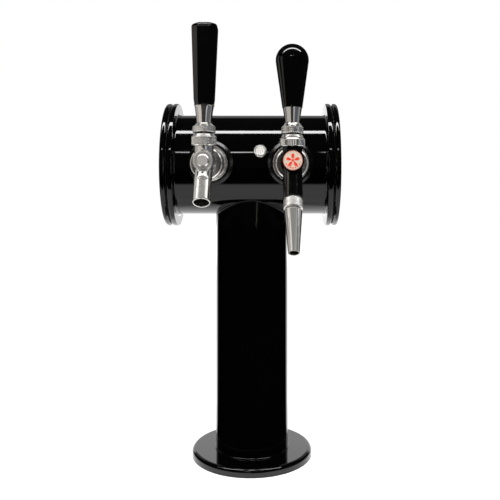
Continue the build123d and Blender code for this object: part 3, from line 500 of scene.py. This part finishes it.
def makeStud(s):
    slope = math.radians(s["slope"])
    end = drumRadius + s["thick"]
    outline = rounded([
        (drumRadius - s["stemLength"], 0, 0), (drumRadius - s["stemLength"], s["stem"], 0.3),
        (drumRadius - s["underStem"], s["stem"], 0), (drumRadius - s["underRim"], s["radius"], 0.2),
        (end, s["radius"], s["edge"]), (end, s["face"] + s["land"], 0.25), (end - s["dish"], s["face"], 0.2),
        (end - s["dish"], 0, 0)], steps=6)
    head = lathe("badgeStud", outline)
    finishPiece(head, shaft((s["across"], 0, drumHeight), (0, -math.cos(slope), math.sin(slope))),
                "turned", "tower", ["badge_stud"])


# bonnets: knurled nuts with a domed, slotted top; heights are above the lever's pivot
bonnet = {"radius": 13.2, "bottom": -3.7, "bore": 10.3, "shoulder": 3.6, "cavity": 7.8,
          "slotHalfWidth": 4.5, "slotStart": 5.0, "slotReach": 18.48, "openLean": 25.0,
          "seat": 1.2, "footEdge": 0.4, "headEdge": 0.1, "headDrop": 0.2, "spacing": 0.3, "stepsPerTooth": 6,
          "knurlMargins": (0.5, 0.3),  # plain wall left below and above the teeth
          "left": {"bottom": -2.9, "wallTop": 6.1, "chamfer": 0.5, "groove": 0.3, "dome": 13.75, "top": 13.4,
                   "teeth": 66, "slant": 0.75, "depth": 0.4},
          "right": {"bottom": -3.9, "wallTop": 3.3, "chamfer": 1.5, "groove": 0.6, "dome": 12.9, "top": 12.5,
                    "teeth": 36, "slant": 0.0, "depth": 0.6}}


def slotCutter(b, lean):
    # the fan in which the lever's neck swings, measured forward of straight up
    front, back = math.radians(b["openLean"]), -lean
    half, near, far = b["slotHalfWidth"], b["slotStart"], b["slotReach"]

    def edge(angle, side, reach):
        return (math.sin(angle) * reach + side * math.cos(angle) * half,
                math.cos(angle) * reach - side * math.sin(angle) * half)

    fan = [edge(back, -1, near), edge(back, -1, far), edge(front, 1, far), edge(front, 1, near)]
    return loft("slotCutter", [[(side * half, -ahead, up) for ahead, up in fan] for side in (-1, 1)])


def makeBonnets(b):
    for name in ("left", "right"):
        k = b[name]
        radius, ledge = b["radius"], k["wallTop"] + k["chamfer"]
        foot = ledge + k["groove"]
        footRadius = math.sqrt(k["dome"] ** 2 - foot ** 2)
        dome = arcPoints((0, 0), k["dome"], math.degrees(math.acos(foot / k["dome"])),
                         math.degrees(math.acos(k["top"] / k["dome"])), 16)
        cavity = arcPoints((0, 0), b["cavity"], 0, math.degrees(math.acos(b["shoulder"] / b["cavity"])), 10)
        outline = rounded([*cavity, (b["shoulder"], b["bore"], 0), (b["bottom"], b["bore"], 0),
                           (b["bottom"], b["bore"] + b["seat"], 0), (k["bottom"], radius - b["footEdge"], 0),
                           *evenPoints(k["bottom"] + b["footEdge"], k["wallTop"] - b["headDrop"], radius,
                                       b["spacing"]),
                           (k["wallTop"], radius - b["headEdge"], 0), (ledge, radius - k["chamfer"], 0.1),
                           (ledge, footRadius - k["groove"], 0), (foot, footRadius - k["groove"], 0),
                           *dome, (k["top"], 0, 0)])
        nut = lathe(name + "Bonnet", outline, k["teeth"] * b["stepsPerTooth"])
        low, high = b["knurlMargins"]
        knurl(nut, k, radius, k["bottom"] + low, k["wallTop"] - high)
        cutter = slotCutter(b, closedLean)
        cut = nut.modifiers.new("slot", "BOOLEAN")
        cut.object, cut.operation, cut.solver = cutter, "DIFFERENCE", "EXACT"
        settle(nut)
        bpy.data.objects.remove(cutter)
        finishPiece(nut, shaft(pivots[name + "_lever_set"], (0, 0, 1)), "knurled", "tower",
                    [name + "_bonnet"])


# collars: knurled rings that curve in to the ferrule; lengths are along the lever from its pivot
collar = {"rimBevel": 0.4, "top": 20.2, "topRadius": 7.8, "flare": 11.0, "neck": 4.05,
          "grooveDepth": 0.8, "grooveHalf": 0.4, "spacing": 0.3, "stepsPerTooth": 6,
          "knurlMargins": (0.1, 0.5),
          "left": {"radius": 12.1, "rim": 10.2, "bevel": 16.6, "teeth": 88, "slant": 0.6, "depth": 0.2,
                   "underDome": 14.9, "grooves": ()},
          "right": {"radius": 11.7, "rim": 9.0, "bevel": 16.0, "teeth": 40, "slant": 0.0, "depth": 0.3,
                    "underDome": 14.0, "grooves": (11.8, 14.0)}}


def makeCollars(c):
    for name in ("left", "right"):
        k = c[name]
        radius = k["radius"]
        foot, head = Vector((k["bevel"], radius - c["rimBevel"])), Vector((c["top"], c["topRadius"]))
        chord = head - foot
        across = Vector((-chord.y, chord.x)).normalized()
        middle = (foot + head) / 2
        centre = middle + across * math.sqrt(c["flare"] ** 2 - (chord.length / 2) ** 2)
        start = math.degrees(math.atan2(foot.y - centre.y, foot.x - centre.x))
        end = math.degrees(math.atan2(head.y - centre.y, head.x - centre.x))
        underside = arcPoints((0, 0), k["underDome"], math.degrees(math.asin(c["neck"] / k["underDome"])),
                              math.degrees(math.acos(k["rim"] / k["underDome"])), 10)
        wall = []
        height = k["rim"] + c["rimBevel"]
        for groove in (*k["grooves"], k["bevel"]):
            wall += evenPoints(height, groove - c["grooveHalf"], radius, c["spacing"])
            height = groove + c["grooveHalf"]
            if groove < k["bevel"]:
                wall.append((groove, radius - c["grooveDepth"], 0))
        outline = rounded([(c["top"], c["topRadius"], 0), (c["top"], c["neck"], 0), *underside,
                           (k["rim"], radius - c["rimBevel"], 0), *wall,
                           *arcPoints(centre, c["flare"], start, end, 8)[:-1]])
        ring = lathe(name + "Collar", outline, k["teeth"] * c["stepsPerTooth"])
        low, high = c["knurlMargins"]
        knurl(ring, k, radius, k["rim"] + c["rimBevel"] + low, k["bevel"] - high)
        finishPiece(ring, leverPlace(name), "knurled", name + "_lever_set", [name + "_collar"])


# ferrules: the left one swells from a round foot to a soft square with a scalloped rim, the right one is
# very nearly a cone
leftFerrule = {"bottom": 20.2, "height": 19.9, "bottomRadius": 8.0, "topWidth": 21.2, "corner": 0.24,
               "cornerEdge": 8.0, "lip": 0.95, "lipDrop": 0.55, "lipDepth": 1.0, "scallop": 1.3, "levels": 16,
               "squareLag": 2, "scallopLag": 6}  # the greater the lag, the nearer the rim the shape sets in
rightFerrule = {"bottom": 20.2, "top": 36.5, "bottomRadius": 7.8, "topRadius": 10.2, "belly": -0.15,
                "socket": 6.5}


def octagon(width, share, edge):
    # a square with its corners cut off and softened
    half, cut = width / 2, width * share
    corners = [(half, -half + cut), (half, half - cut), (half - cut, half), (-half + cut, half),
               (-half, half - cut), (-half, -half + cut), (-half + cut, -half), (half - cut, -half)]
    return rounded([(*corner, edge) for corner in corners], steps=4)


def makeLeftFerrule(f):
    rim = octagon(f["topWidth"], f["corner"], f["cornerEdge"])
    farthest, nearest = max(p.length for p in rim), min(p.length for p in rim)
    sections = []
    for t in np.linspace(0, 1, f["levels"]):
        section = []
        for p in rim:
            square = f["bottomRadius"] + (p.length - f["bottomRadius"]) * t ** f["squareLag"]
            cone = f["bottomRadius"] + (nearest - f["bottomRadius"]) * t
            radius = square * t + cone * (1 - t)
            dip = f["scallop"] * (p.length - nearest) / (farthest - nearest) * t ** f["scallopLag"]
            where = p.normalized() * radius
            section.append((where.x, where.y, f["bottom"] + f["height"] * t - dip))
        sections.append(section)
    inner = [(p.x * f["lip"], p.y * f["lip"], z) for p, (_, _, z) in zip(rim, sections[-1])]
    sections[-1] = [(x, y, z - f["lipDrop"]) for x, y, z in sections[-1]]
    sections += [inner, [(x, y, z - f["lipDepth"]) for x, y, z in inner]]
    sleeve = loft("leftFerrule", sections)
    finishPiece(sleeve, leverPlace("left"), "brushed", "left_lever_set", ["left_ferrule"],
                sharp=40)


def makeRightFerrule(f):
    middle = ((f["bottom"] + f["top"]) / 2, (f["bottomRadius"] + f["topRadius"]) / 2 + f["belly"], 0)
    outline = rounded([(f["bottom"], f["socket"], 0), (f["bottom"], f["bottomRadius"], 0.3), middle,
                       (f["top"], f["topRadius"], 0.25), (f["top"], f["socket"], 0)], steps=4)
    sleeve = lathe("rightFerrule", outline)
    finishPiece(sleeve, leverPlace("right"), "fineBrushed", "right_lever_set",
                ["right_ferrule"])


# handles: the left one tapers, eight-sided with a bevelled crown, and the right one is a pear
leftHandle = {"bottom": 37.9, "top": 127.0, "bottomWidth": 21.2, "topWidth": 27.8, "corner": 0.24,
              "edge": 1.2, "edgeShare": 0.2, "crownEdge": 4.6, "crown": 0.9, "crownFlat": 0.3, "seat": 0.93,
              "seatHeight": 0.5, "flankEnd": 0.92, "levels": 12}
rightHandle = {"bottom": 36.6, "bottomRadius": 10.5, "widest": 87.5, "radius": 17.6, "top": 105.0}


def makeLeftHandle(h):
    shoulder = h["top"] - h["crown"]
    length, swell = shoulder - h["bottom"], h["topWidth"] - h["bottomWidth"]
    flank = [(h["bottom"] + length * t, (h["bottomWidth"] + swell * t) / 2, 0)
             for t in np.linspace(0, h["flankEnd"], h["levels"])]
    profile = rounded([(h["bottom"], 0, 0), *flank, (shoulder, h["topWidth"] / 2, h["crownEdge"]),
                       (h["top"], 0, 0)], steps=10)
    sections = []
    for height, half in profile:
        if half > 1e-6:
            outline = octagon(half * 2, h["corner"], min(h["edge"], half * h["edgeShare"]))
            inset = h["seat"] if height < h["bottom"] + h["seatHeight"] else 1.0
            sections.append([(p.x * inset, p.y * inset, height) for p in outline])
    sections.append([(x * h["crownFlat"], y * h["crownFlat"], h["top"]) for x, y, _ in sections[-1]])
    grip = loft("leftHandle", sections)
    finishPiece(grip, leverPlace("left"), "black_handle", "left_lever_set",
                ["left_handle"], sharp=30)


def makeRightHandle(h):
    # a straight cone that runs smoothly into the half ellipse of the knob
    height = h["top"] - h["widest"]
    slope = (h["radius"] - h["bottomRadius"]) / (h["widest"] - h["bottom"])
    joint = -math.atan(slope * height / h["radius"])
    knob = [(h["widest"] + height * math.sin(a), h["radius"] * math.cos(a), 0)
            for a in np.linspace(joint, math.pi / 2, 40)[:-1]]
    foot = knob[0][1] - slope * (knob[0][0] - h["bottom"])
    flank = [(z, foot + slope * (z - h["bottom"]), 0)
             for z in np.linspace(h["bottom"], knob[0][0], 12)[:-1]]
    outline = rounded([(h["bottom"], 0, 0), *flank, *knob, (h["top"], 0, 0)])
    grip = lathe("rightHandle", outline)
    finishPiece(grip, leverPlace("right"), "black_handle", "right_lever_set",
                ["right_handle"])


# left tap body: cast in one with its spout, so every corner flows
leftBody = {"elbow": (-149.2, 341.4), "shoulder": (-139.0, 352.5), "elbowRadius": 9.35, "swells": 9,
            "voxel": 0.45, "smoothing": (0.5, 24), "bore": 7.7, "boreBend": 12.0,
            "boreRoute": ((-134.0, 352.4), (-148.0, 342.4), (-164.0, 319.2)), "overrun": 2.0,
            "vent": 1.4, "ventPlace": (-147.0, 344.5), "ventRise": 40.0,
            "ventFrom": -4.0, "ventTo": 6.0}  # from the casting's skin at the elbow


def makeLeftBody(b):
    x = pivots["left_lever_set"].x
    source = nodes["left_tap_body"]
    mesh = bmesh.new()
    mesh.from_mesh(source.data)
    bmesh.ops.transform(mesh, matrix=source.matrix_world, verts=mesh.verts)
    bmesh.ops.remove_doubles(mesh, verts=mesh.verts, dist=1e-6)
    for share in np.linspace(0, 1, b["swells"]):
        middle = Vector((x, *b["shoulder"])).lerp(Vector((x, *b["elbow"])), share)
        bmesh.ops.create_icosphere(mesh, subdivisions=4, radius=b["elbowRadius"] * mm,
                                   matrix=Matrix.Translation(middle * mm))
    body = asObject(mesh, "leftTapBody")
    body.data.materials.clear()
    cast = body.modifiers.new("cast", "REMESH")
    cast.mode, cast.voxel_size = "VOXEL", b["voxel"] * mm
    soft = body.modifiers.new("soften", "SMOOTH")
    soft.factor, soft.iterations = b["smoothing"]
    settle(body)
    root, bend, mouth = b["boreRoute"]
    flat = rounded([(*root, 0), (*bend, b["boreBend"]), (*mouth, 0)], steps=10)
    route = [Vector((x, *point)) for point in flat]
    # on past the mouth, for a clean cut
    route.append(route[-1] + (route[-1] - route[-2]).normalized() * b["overrun"])
    sections = []
    for i, point in enumerate(route):
        run = (route[min(i + 1, len(route) - 1)] - route[max(i - 1, 0)]).normalized()
        side = Vector((1, 0, 0)).cross(run)
        sections.append([point + b["bore"] * (Vector((math.cos(a), 0, 0)) + side * math.sin(a))
                         for a in np.linspace(0, 2 * math.pi, 64, endpoint=False)])
    bore = loft("boreCutter", sections)
    start, end = b["elbowRadius"] + b["ventFrom"], b["elbowRadius"] + b["ventTo"]
    vent = lathe("ventCutter", [(start, 0), (start, b["vent"]), (end, b["vent"]), (end, 0)], segments=32)
    rise = math.radians(b["ventRise"])
    vent.data.transform(shaft((x, *b["ventPlace"]), (0, -math.cos(rise), math.sin(rise))))
    for cutter in (bore, vent):
        cut = body.modifiers.new("cut", "BOOLEAN")
        cut.object, cut.operation, cut.solver = cutter, "DIFFERENCE", "EXACT"
    settle(body)
    bpy.data.objects.remove(bore)
    bpy.data.objects.remove(vent)
    finishPiece(body, Matrix.Identity(4), "chrome", "tower", ["left_tap_body"])


# front caps and medallion
leftCap = {"back": 148.0, "barrel": 150.0, "face": 152.0, "plug": 8.3, "edge": 10.0, "dish": 0.35,
           "boss": 6.9, "bossTop": 5.4, "bossHeight": 1.5, "button": 5.2, "buttonHeight": 0.06, "sunk": 0.1,
           "ring": 8.6, "ringHalf": 0.5, "ringDepth": 0.25}
rightCap = {"back": 151.3, "barrel": 153.4, "face": 155.4, "plug": 8.3, "edge": 10.9, "tray": 10.2,
            "trayDepth": 1.0}
medallion = {"floor": 154.4, "thick": 1.2, "radius": 10.1, "edge": 0.15, "edgeDrop": 0.2, "rings": 66,
             "around": 192, "relief": 0.28, "figureRise": 0.7, "beadRise": 0.8,  # rises are shares of relief
             "soft": 0.2, "petals": 5, "petalMiddle": 3.9, "petalReach": 3.3, "petalWidth": 0.9,
             "eye": 1.1, "eyeEdge": 0.3, "bead": 6.4, "beadHalf": 0.3, "rim": 9.1, "rimEdge": 0.35,
             "lozenges": 18, "lozengeMiddle": 7.7, "lozengeReach": 1.15, "lozengeWidth": 0.4,
             "lozengeArc": (0.25, 0.45)}  # how far below the middle they fade in, as shares of the radius


def capPlug(c, edge):
    # the outline of a cap's plug, as far as the cap's own back edge
    return [(c["back"], 0, 0), (c["back"], c["plug"], 0), (c["barrel"], c["plug"], 0),
            (c["barrel"], c["edge"], edge)]


def makeLeftCap(c):
    place = tapPlace("left", valveHeight)
    face, top = c["face"], c["face"] + c["bossHeight"]
    groove = [(face, c["ring"] + c["ringHalf"], 0.1), (face - c["ringDepth"], c["ring"], 0.1),
              (face, c["ring"] - c["ringHalf"], 0.1)]
    outline = rounded([*capPlug(c, 0.3), (face - c["dish"], c["edge"], 0.5), *groove, (face, 0, 0)], steps=4)
    cap = lathe("leftFrontCap", outline)
    finishPiece(cap, place, "faced", "tower", ["left_front_cap"])
    foot = face - c["sunk"]
    outline = rounded([(foot, 0, 0), (foot, c["boss"], 0), (top, c["bossTop"], 0.15), (top, 0, 0)], steps=4)
    boss = lathe("leftCapBoss", outline)
    finishPiece(boss, place, "turned", "tower", [], sharp=20)
    foot, head = top - c["sunk"], top + c["buttonHeight"]
    button = lathe("leftCapButton", [(foot, 0), (foot, c["button"]), (head, c["button"]), (head, 0)])
    finishPiece(button, place, "blasted", "tower", [])


def makeRightCap(c):
    face, floor = c["face"], c["face"] - c["trayDepth"]
    outline = rounded([*capPlug(c, 0.2), (face, c["edge"], 0.3), (face, c["tray"], 0.1),
                       (floor, c["tray"], 0), (floor, 0, 0)])
    cap = lathe("rightFrontCap", outline)
    finishPiece(cap, tapPlace("right", valveHeight), "black_handle", "tower",
                ["right_front_cap"])


def smoothStep(low, high, value):
    t = min(1.0, max(0.0, (value - low) / (high - low)))
    return t * t * (3 - 2 * t)


def medallionRelief(m, radius, angle):
    # the share of the relief's height, how much red enamel lies there, and how much of the rim
    petal = abs(math.sin((angle - math.pi / 2) * m["petals"] / 2))
    reach = (radius - m["petalMiddle"]) / m["petalReach"]
    leaf = smoothStep(0.0, m["soft"], m["petalWidth"] * math.sqrt(max(0.0, 1 - reach * reach)) - petal)
    eye = 1 - smoothStep(m["eye"], m["eye"] + m["eyeEdge"], radius)
    share = (angle * m["lozenges"] / (2 * math.pi)) % 1.0
    aside = abs(share - 0.5) / m["lozengeWidth"]
    beyond = abs(radius - m["lozengeMiddle"]) / m["lozengeReach"]
    lozenge = smoothStep(0.0, m["soft"], 1 - aside - beyond) * smoothStep(*m["lozengeArc"], -math.sin(angle))
    bead = max(0.0, 1 - abs(radius - m["bead"]) / m["beadHalf"])
    rim = smoothStep(m["rim"], m["rim"] + m["rimEdge"], radius)
    red = max(leaf, eye, lozenge)
    return max(red * m["figureRise"], bead * m["beadRise"], rim), red, rim


def makeMedallion(m):
    mesh = bmesh.new()
    redLayer, rimLayer = (mesh.verts.layers.float.new(name) for name in ("redEnamel", "rim"))
    top = m["floor"] + m["thick"]
    flat = top - m["relief"]
    rings = []
    for step in range(m["rings"] + 1):
        radius = (m["radius"] - m["edge"]) * step / m["rings"]
        ring = []
        for i in range(m["around"] if step else 1):
            angle = 2 * math.pi * i / m["around"]
            height, red, rim = medallionRelief(m, radius, angle)
            corner = mesh.verts.new((radius * math.cos(angle) * mm, radius * math.sin(angle) * mm,
                                     (flat + height * m["relief"]) * mm))
            corner[redLayer], corner[rimLayer] = red, rim
            ring.append(corner)
        rings.append(ring)
    for along, radius in ((top - m["edgeDrop"], m["radius"]), (m["floor"], m["radius"]), (m["floor"], 0)):
        ring = [mesh.verts.new((radius * math.cos(a) * mm, radius * math.sin(a) * mm, along * mm))
                for a in np.linspace(0, 2 * math.pi, m["around"] if radius else 1, endpoint=False)]
        for corner in ring:
            corner[rimLayer] = 1.0
        rings.append(ring)
    joinRings(mesh, rings, loop=False)
    disc = asObject(mesh, "rightMedallion")
    finishPiece(disc, tapPlace("right", valveHeight), "red_enamel", "tower",
                ["right_medallion"], sharp=60)


# right spout: stainless collar and tapered nozzle on the sloping outlet
spout = {"slope": 33.7, "rootAhead": 137.0, "rootDrop": 1.2, "collarStart": 41.9, "collarEnd": 54.0,
         "collarRadius": 9.8, "collarTop": 8.7, "chamfer": 2.4, "collarBore": 8.35, "collarLip": 7.1,
         "nozzleStart": 50.3, "flangeEnd": 53.0, "flange": 8.1, "play": 0.1, "neck": 7.0, "neckEnd": 55.4,
         "shoulder": 1.0, "top": 9.2, "end": 103.0, "tip": 5.8, "boreTop": 6.0, "boreTip": 4.4,
         "boreStart": 85.0}  # lengths are along the sloping outlet


def makeSpout(s):
    x = pivots["right_lever_set"].x
    slope = math.radians(s["slope"])
    place = shaft((x, -s["rootAhead"], shankHeight - s["rootDrop"]), (0, -math.sin(slope), -math.cos(slope)))
    ledge = s["flangeEnd"] + s["play"]
    outline = rounded([
        (s["collarStart"], s["collarBore"], 0), (ledge, s["collarBore"], 0),
        (ledge, s["collarLip"], 0), (s["collarEnd"], s["collarLip"], 0.2),
        (s["collarEnd"], s["collarRadius"], 0.9), (s["collarStart"] + s["chamfer"], s["collarRadius"], 0.3),
        (s["collarStart"], s["collarTop"], 0.1)])
    ring = lathe("rightSpoutCollar", outline)
    finishPiece(ring, place, "satinSteel", "tower", ["right_spout_collar"])
    outline = rounded([
        (s["nozzleStart"], s["boreTop"], 0), (s["boreStart"], s["boreTip"], 0), (s["end"], s["boreTip"], 0.2),
        (s["end"], s["tip"], 0.4), (s["neckEnd"] + s["shoulder"], s["top"], 0.8),
        (s["neckEnd"], s["neck"], 0.3), (s["flangeEnd"], s["neck"], 0.2), (s["flangeEnd"], s["flange"], 0.2),
        (s["nozzleStart"], s["flange"], 0.2)])
    nozzle = lathe("rightNozzle", outline)
    finishPiece(nozzle, place, "brushed", "tower", ["right_nozzle"])


makeFlangeRings(flangeRing)
makeWelds(weld)
makeBezels(bezel)
makeShanks(shank)
makeStud(stud)
print("tower pieces made")
makeBonnets(bonnet)
makeCollars(collar)
makeLeftFerrule(leftFerrule)
makeRightFerrule(rightFerrule)
makeLeftHandle(leftHandle)
makeRightHandle(rightHandle)
print("lever pieces made")
makeLeftBody(leftBody)
makeLeftCap(leftCap)
makeRightCap(rightCap)
makeMedallion(medallion)
makeSpout(spout)
print("tap pieces made")


# studio: camera, lamps, floor and surroundings, in millimetres and degrees
studio = {
    "cameraPlace": (26.4, -893.9, 362.5), "lens": 51.84, "sensor": 36.0,  # level, looking along +Y
    "viewCentre": (273.3, 160.35), "imageSide": 500.0,
    "surroundLight": 0.55, "darkRoom": 0.015,
    "floorSize": 6000.0, "floorColour": "#e8e8e8", "floorLift": 0.6, "tableFront": -360.0, "tableFade": 60.0,
    "mirrorSteep": (0.42, 0.56),  # a mirror that sees the floor flatter than this sees it dark
    "rearEdge": 44.0, "rearSlope": (0.68, 0.95), "rearStart": (40.0, 80.0),  # bright wedge of floor behind
    # lamps: name, aim, distance, azimuth, height angle, size, radiance, colour, audience
    "lamps": (
        ("boomSoftbox", (25, 0, 357), 1200.0, 0.0, 79.0, (2150.0, 158.0), 18.0, "#ffffff", "dark"),
        ("boomWing", (-1275, 0, 357), 1200.0, 0.0, 79.0, (440.0, 158.0), 3.5, "#fff6ea", "dark"),
        ("frontStrip", (-160, 0, 357), 1500.0, 0.0, 28.3, (330.0, 42.0), 13.0, "#ffffff", "all"),
        ("strayStrip", (215, 0, 357), 1500.0, 0.0, 28.3, (70.0, 42.0), 7.0, "#ffffff", "dark"),
        ("backdrop", (0, 0, 360), 1500.0, 180.0, 0.0, (2430.0, 720.0), 1.25, "#ffffff", "lacquer"),
        ("rearGlow", (0, 0, 360), 1724.0, 180.0, 28.0, (3000.0, 860.0), 0.3, "#ffffff", "lacquer"),
        ("tableGlow", (0, -120, 500), 499.5, 0.0, -90.0, (500.0, 500.0), 1.4, "#ffffff", "base"),
        ("overheadCard", (0, -137, 362), 700.0, 0.0, 88.0, (2630.0, 298.0), 2.7, "#ffffff", "metal"),
        ("browCard", (0, -137, 362), 700.0, 0.0, 58.0, (1670.0, 460.0), 0.38, "#fffdf8", "metal"),
        ("leftCard", (0, -137, 362), 700.0, -46.5, 4.0, (720.0, 1080.0), 0.85, "#fffbf6", "metal"),
        ("sideCard", (0, -137, 362), 700.0, -98.0, -4.0, (683.0, 900.0), 0.55, "#fffbf6", "bright"),
        ("rightCard", (0, -137, 362), 700.0, 24.0, 4.0, (205.0, 1080.0), 0.85, "#fbfcff", "metal"),
        ("gapCard", (0, -137, 362), 700.0, -2.5, 4.0, (440.0, 1080.0), 0.06, "#e0d4cc", "metal"),
        ("dimCard", (0, -137, 362), 700.0, 56.5, 4.0, (637.0, 1080.0), 0.27, "#c3cfe0", "metal"),
        ("rearCard", (0, -137, 362), 700.0, 97.0, -4.0, (380.0, 900.0), 0.5, "#ffffff", "metal"),
        ("rearCrown", (0, -137, 362), 1500.0, 180.0, 31.0, (5200.0, 1150.0), 0.45, "#ffffff", "metal"),
        ("underCard", (0, -120, 500), 499.4, 0.0, -90.0, (700.0, 500.0), 0.9, "#ffffff", "under"),
    ),
}


def aimed(place, target):
    direction = Vector(target) - Vector(place)
    return Matrix.Translation(Vector(place) * mm) @ direction.to_track_quat("-Z", "Y").to_matrix().to_4x4()


def makeCamera(s):
    data = bpy.data.cameras.new("frontCamera")
    data.lens, data.sensor_width = s["lens"], s["sensor"]
    data.shift_x = 0.5 - s["viewCentre"][0] / s["imageSide"]
    data.shift_y = s["viewCentre"][1] / s["imageSide"] - 0.5
    camera = bpy.data.objects.new("frontCamera", data)
    camera.location = Vector(s["cameraPlace"]) * mm
    camera.rotation_euler = (math.pi / 2, 0, 0)
    bpy.context.scene.collection.objects.link(camera)
    bpy.context.scene.camera = camera


metalFinishes = ("chrome", "stainless", "turned", "faced", "blasted", "knurled", "satinSteel", "mirror",
                 "brushed", "fineBrushed", "brass", "red_enamel")


def makeAudiences():
    # the pieces each lamp may light: metal is filled from in front, lacquer keeps its dark room
    groups = {key: bpy.data.collections.new(key + "Audience")
              for key in ("dark", "lacquer", "metal", "bright", "under", "base")}
    keyOf = {material: key for key, material in finishes.items()}
    for piece in bpy.context.scene.objects:
        if piece.type != "MESH" or piece.hide_render or not piece.data.materials:
            continue
        finish = keyOf.get(piece.material_slots[0].material)
        if finish in metalFinishes:
            audiences = ["metal", "bright"] + (["under"] if finish != "brushed" else [])
        else:
            audiences = ["dark", "bright" if finish == "black_handle" else "lacquer"]
        if piece == nodes["base_flange"]:
            audiences.append("base")
        for audience in audiences:
            groups[audience].objects.link(piece)
    return groups


def makeLamps(s):
    groups = makeAudiences()
    for name, aim, distance, azimuth, rise, size, radiance, colour, audience in s["lamps"]:
        turn, rise = math.radians(azimuth), math.radians(rise)
        data = bpy.data.lights.new(name, "AREA")
        data.shape = "RECTANGLE"
        data.size, data.size_y = size[0] * mm, size[1] * mm
        data.energy = radiance * math.pi * data.size * data.size_y
        data.color = linearColour(colour)[:3]
        lamp = bpy.data.objects.new(name, data)
        away = Vector((math.sin(turn) * math.cos(rise), -math.cos(turn) * math.cos(rise), math.sin(rise)))
        lamp.matrix_world = aimed(Vector(aim) + distance * away, aim)
        lamp.visible_camera = False
        bpy.context.scene.collection.objects.link(lamp)
        if audience != "all":
            lamp.light_linking.receiver_collection = groups[audience]


def makeWorld(s):
    # white behind the object for the camera, a dark room for mirrors, an even fill for matt surfaces
    world = bpy.data.worlds.new("studio")
    bpy.context.scene.world = world
    world.use_nodes = True
    tree = world.node_tree
    tree.nodes.clear()
    rays = addNode(tree, "ShaderNodeLightPath").outputs
    mirrored = addNode(tree, "ShaderNodeMath", {0: rays["Is Glossy Ray"], 1: rays["Is Transmission Ray"]},
                       operation="MAXIMUM")
    lit = addNode(tree, "ShaderNodeMix", {0: mirrored, 2: s["surroundLight"], 3: s["darkRoom"]})
    seen = addNode(tree, "ShaderNodeMix", {0: rays["Is Camera Ray"], 2: lit, 3: 1.0})
    background = addNode(tree, "ShaderNodeBackground", {"Color": linearColour("#ffffff"), "Strength": seen})
    addNode(tree, "ShaderNodeOutputWorld", {"Surface": background})


def makeFloor(s):
    half = s["floorSize"] / 2 * mm
    corners = [(-half, -half, 0), (half, -half, 0), (half, half, 0), (-half, half, 0)]
    mesh = bpy.data.meshes.new("floor")
    mesh.from_pydata(corners, [], [(0, 1, 2, 3)])
    floor = bpy.data.objects.new("floor", mesh)
    bpy.context.scene.collection.objects.link(floor)
    material = bpy.data.materials.new("whiteTable")
    material.use_nodes = True
    tree = material.node_tree
    tree.nodes.clear()
    rays = addNode(tree, "ShaderNodeLightPath").outputs
    place = addNode(tree, "ShaderNodeTexCoord").outputs["Object"]
    sideways, depth, _ = addNode(tree, "ShaderNodeSeparateXYZ", {0: place}).outputs
    # a mirror sees the table only behind its front edge and from steeply above, all else sees all of it
    front, fade = s["tableFront"] * mm, s["tableFade"] * mm
    table = addNode(tree, "ShaderNodeMapRange", {"Value": depth, "From Min": front - fade, "From Max": front})
    slant = addNode(tree, "ShaderNodeLayerWeight", {"Blend": 0.5}).outputs["Facing"]
    low, high = s["mirrorSteep"]
    steep = addNode(tree, "ShaderNodeMapRange", {"Value": slant, "From Min": low, "From Max": high,
                                                 "To Min": 1.0, "To Max": 0.0})
    near = addNode(tree, "ShaderNodeMath", {0: table, 1: steep}, operation="MULTIPLY")
    # behind the column the floor is as bright as the backdrop, which gives the column its light edges
    aside = addNode(tree, "ShaderNodeMath", {0: sideways}, operation="ABSOLUTE")
    aside = addNode(tree, "ShaderNodeMath", {0: aside, 1: s["rearEdge"] * mm}, operation="SUBTRACT")
    slope = addNode(tree, "ShaderNodeMath", {0: aside, 1: depth}, operation="DIVIDE")
    low, high = s["rearSlope"]
    wedge = addNode(tree, "ShaderNodeMapRange", {"Value": slope, "From Min": low, "From Max": high,
                                                 "To Min": 1.0, "To Max": 0.0})
    low, high = (distance * mm for distance in s["rearStart"])
    behind = addNode(tree, "ShaderNodeMapRange", {"Value": depth, "From Min": low, "From Max": high})
    rear = addNode(tree, "ShaderNodeMath", {0: wedge, 1: behind}, operation="MULTIPLY")
    mirrored = addNode(tree, "ShaderNodeMath", {0: near, 1: rear}, operation="MAXIMUM")
    shown = addNode(tree, "ShaderNodeMix", {0: rays["Is Glossy Ray"], 2: 1.0, 3: mirrored})
    colour = addNode(tree, "ShaderNodeMix", {0: shown, 6: linearColour("#000000"),
                                             7: linearColour(s["floorColour"])}, data_type="RGBA")
    paint = addNode(tree, "ShaderNodeBsdfDiffuse", {"Color": colour.outputs[2]})
    # the camera sees the floor lifted to white, and so do mirrors where it lies behind the column
    lift = addNode(tree, "ShaderNodeMath", {0: rear, 1: rays["Is Glossy Ray"]}, operation="MULTIPLY")
    lift = addNode(tree, "ShaderNodeMath", {0: rays["Is Camera Ray"], 1: lift}, operation="MAXIMUM")
    lift = addNode(tree, "ShaderNodeMath", {0: lift, 1: s["floorLift"]}, operation="MULTIPLY")
    glow = addNode(tree, "ShaderNodeEmission", {"Strength": lift})
    both = addNode(tree, "ShaderNodeAddShader", {0: paint, 1: glow})
    addNode(tree, "ShaderNodeOutputMaterial", {"Surface": both})
    mesh.materials.append(material)


makeCamera(studio)
makeFloor(studio)
makeLamps(studio)
makeWorld(studio)
view = bpy.context.scene.view_settings
view.view_transform = "Standard"
print("studio set")
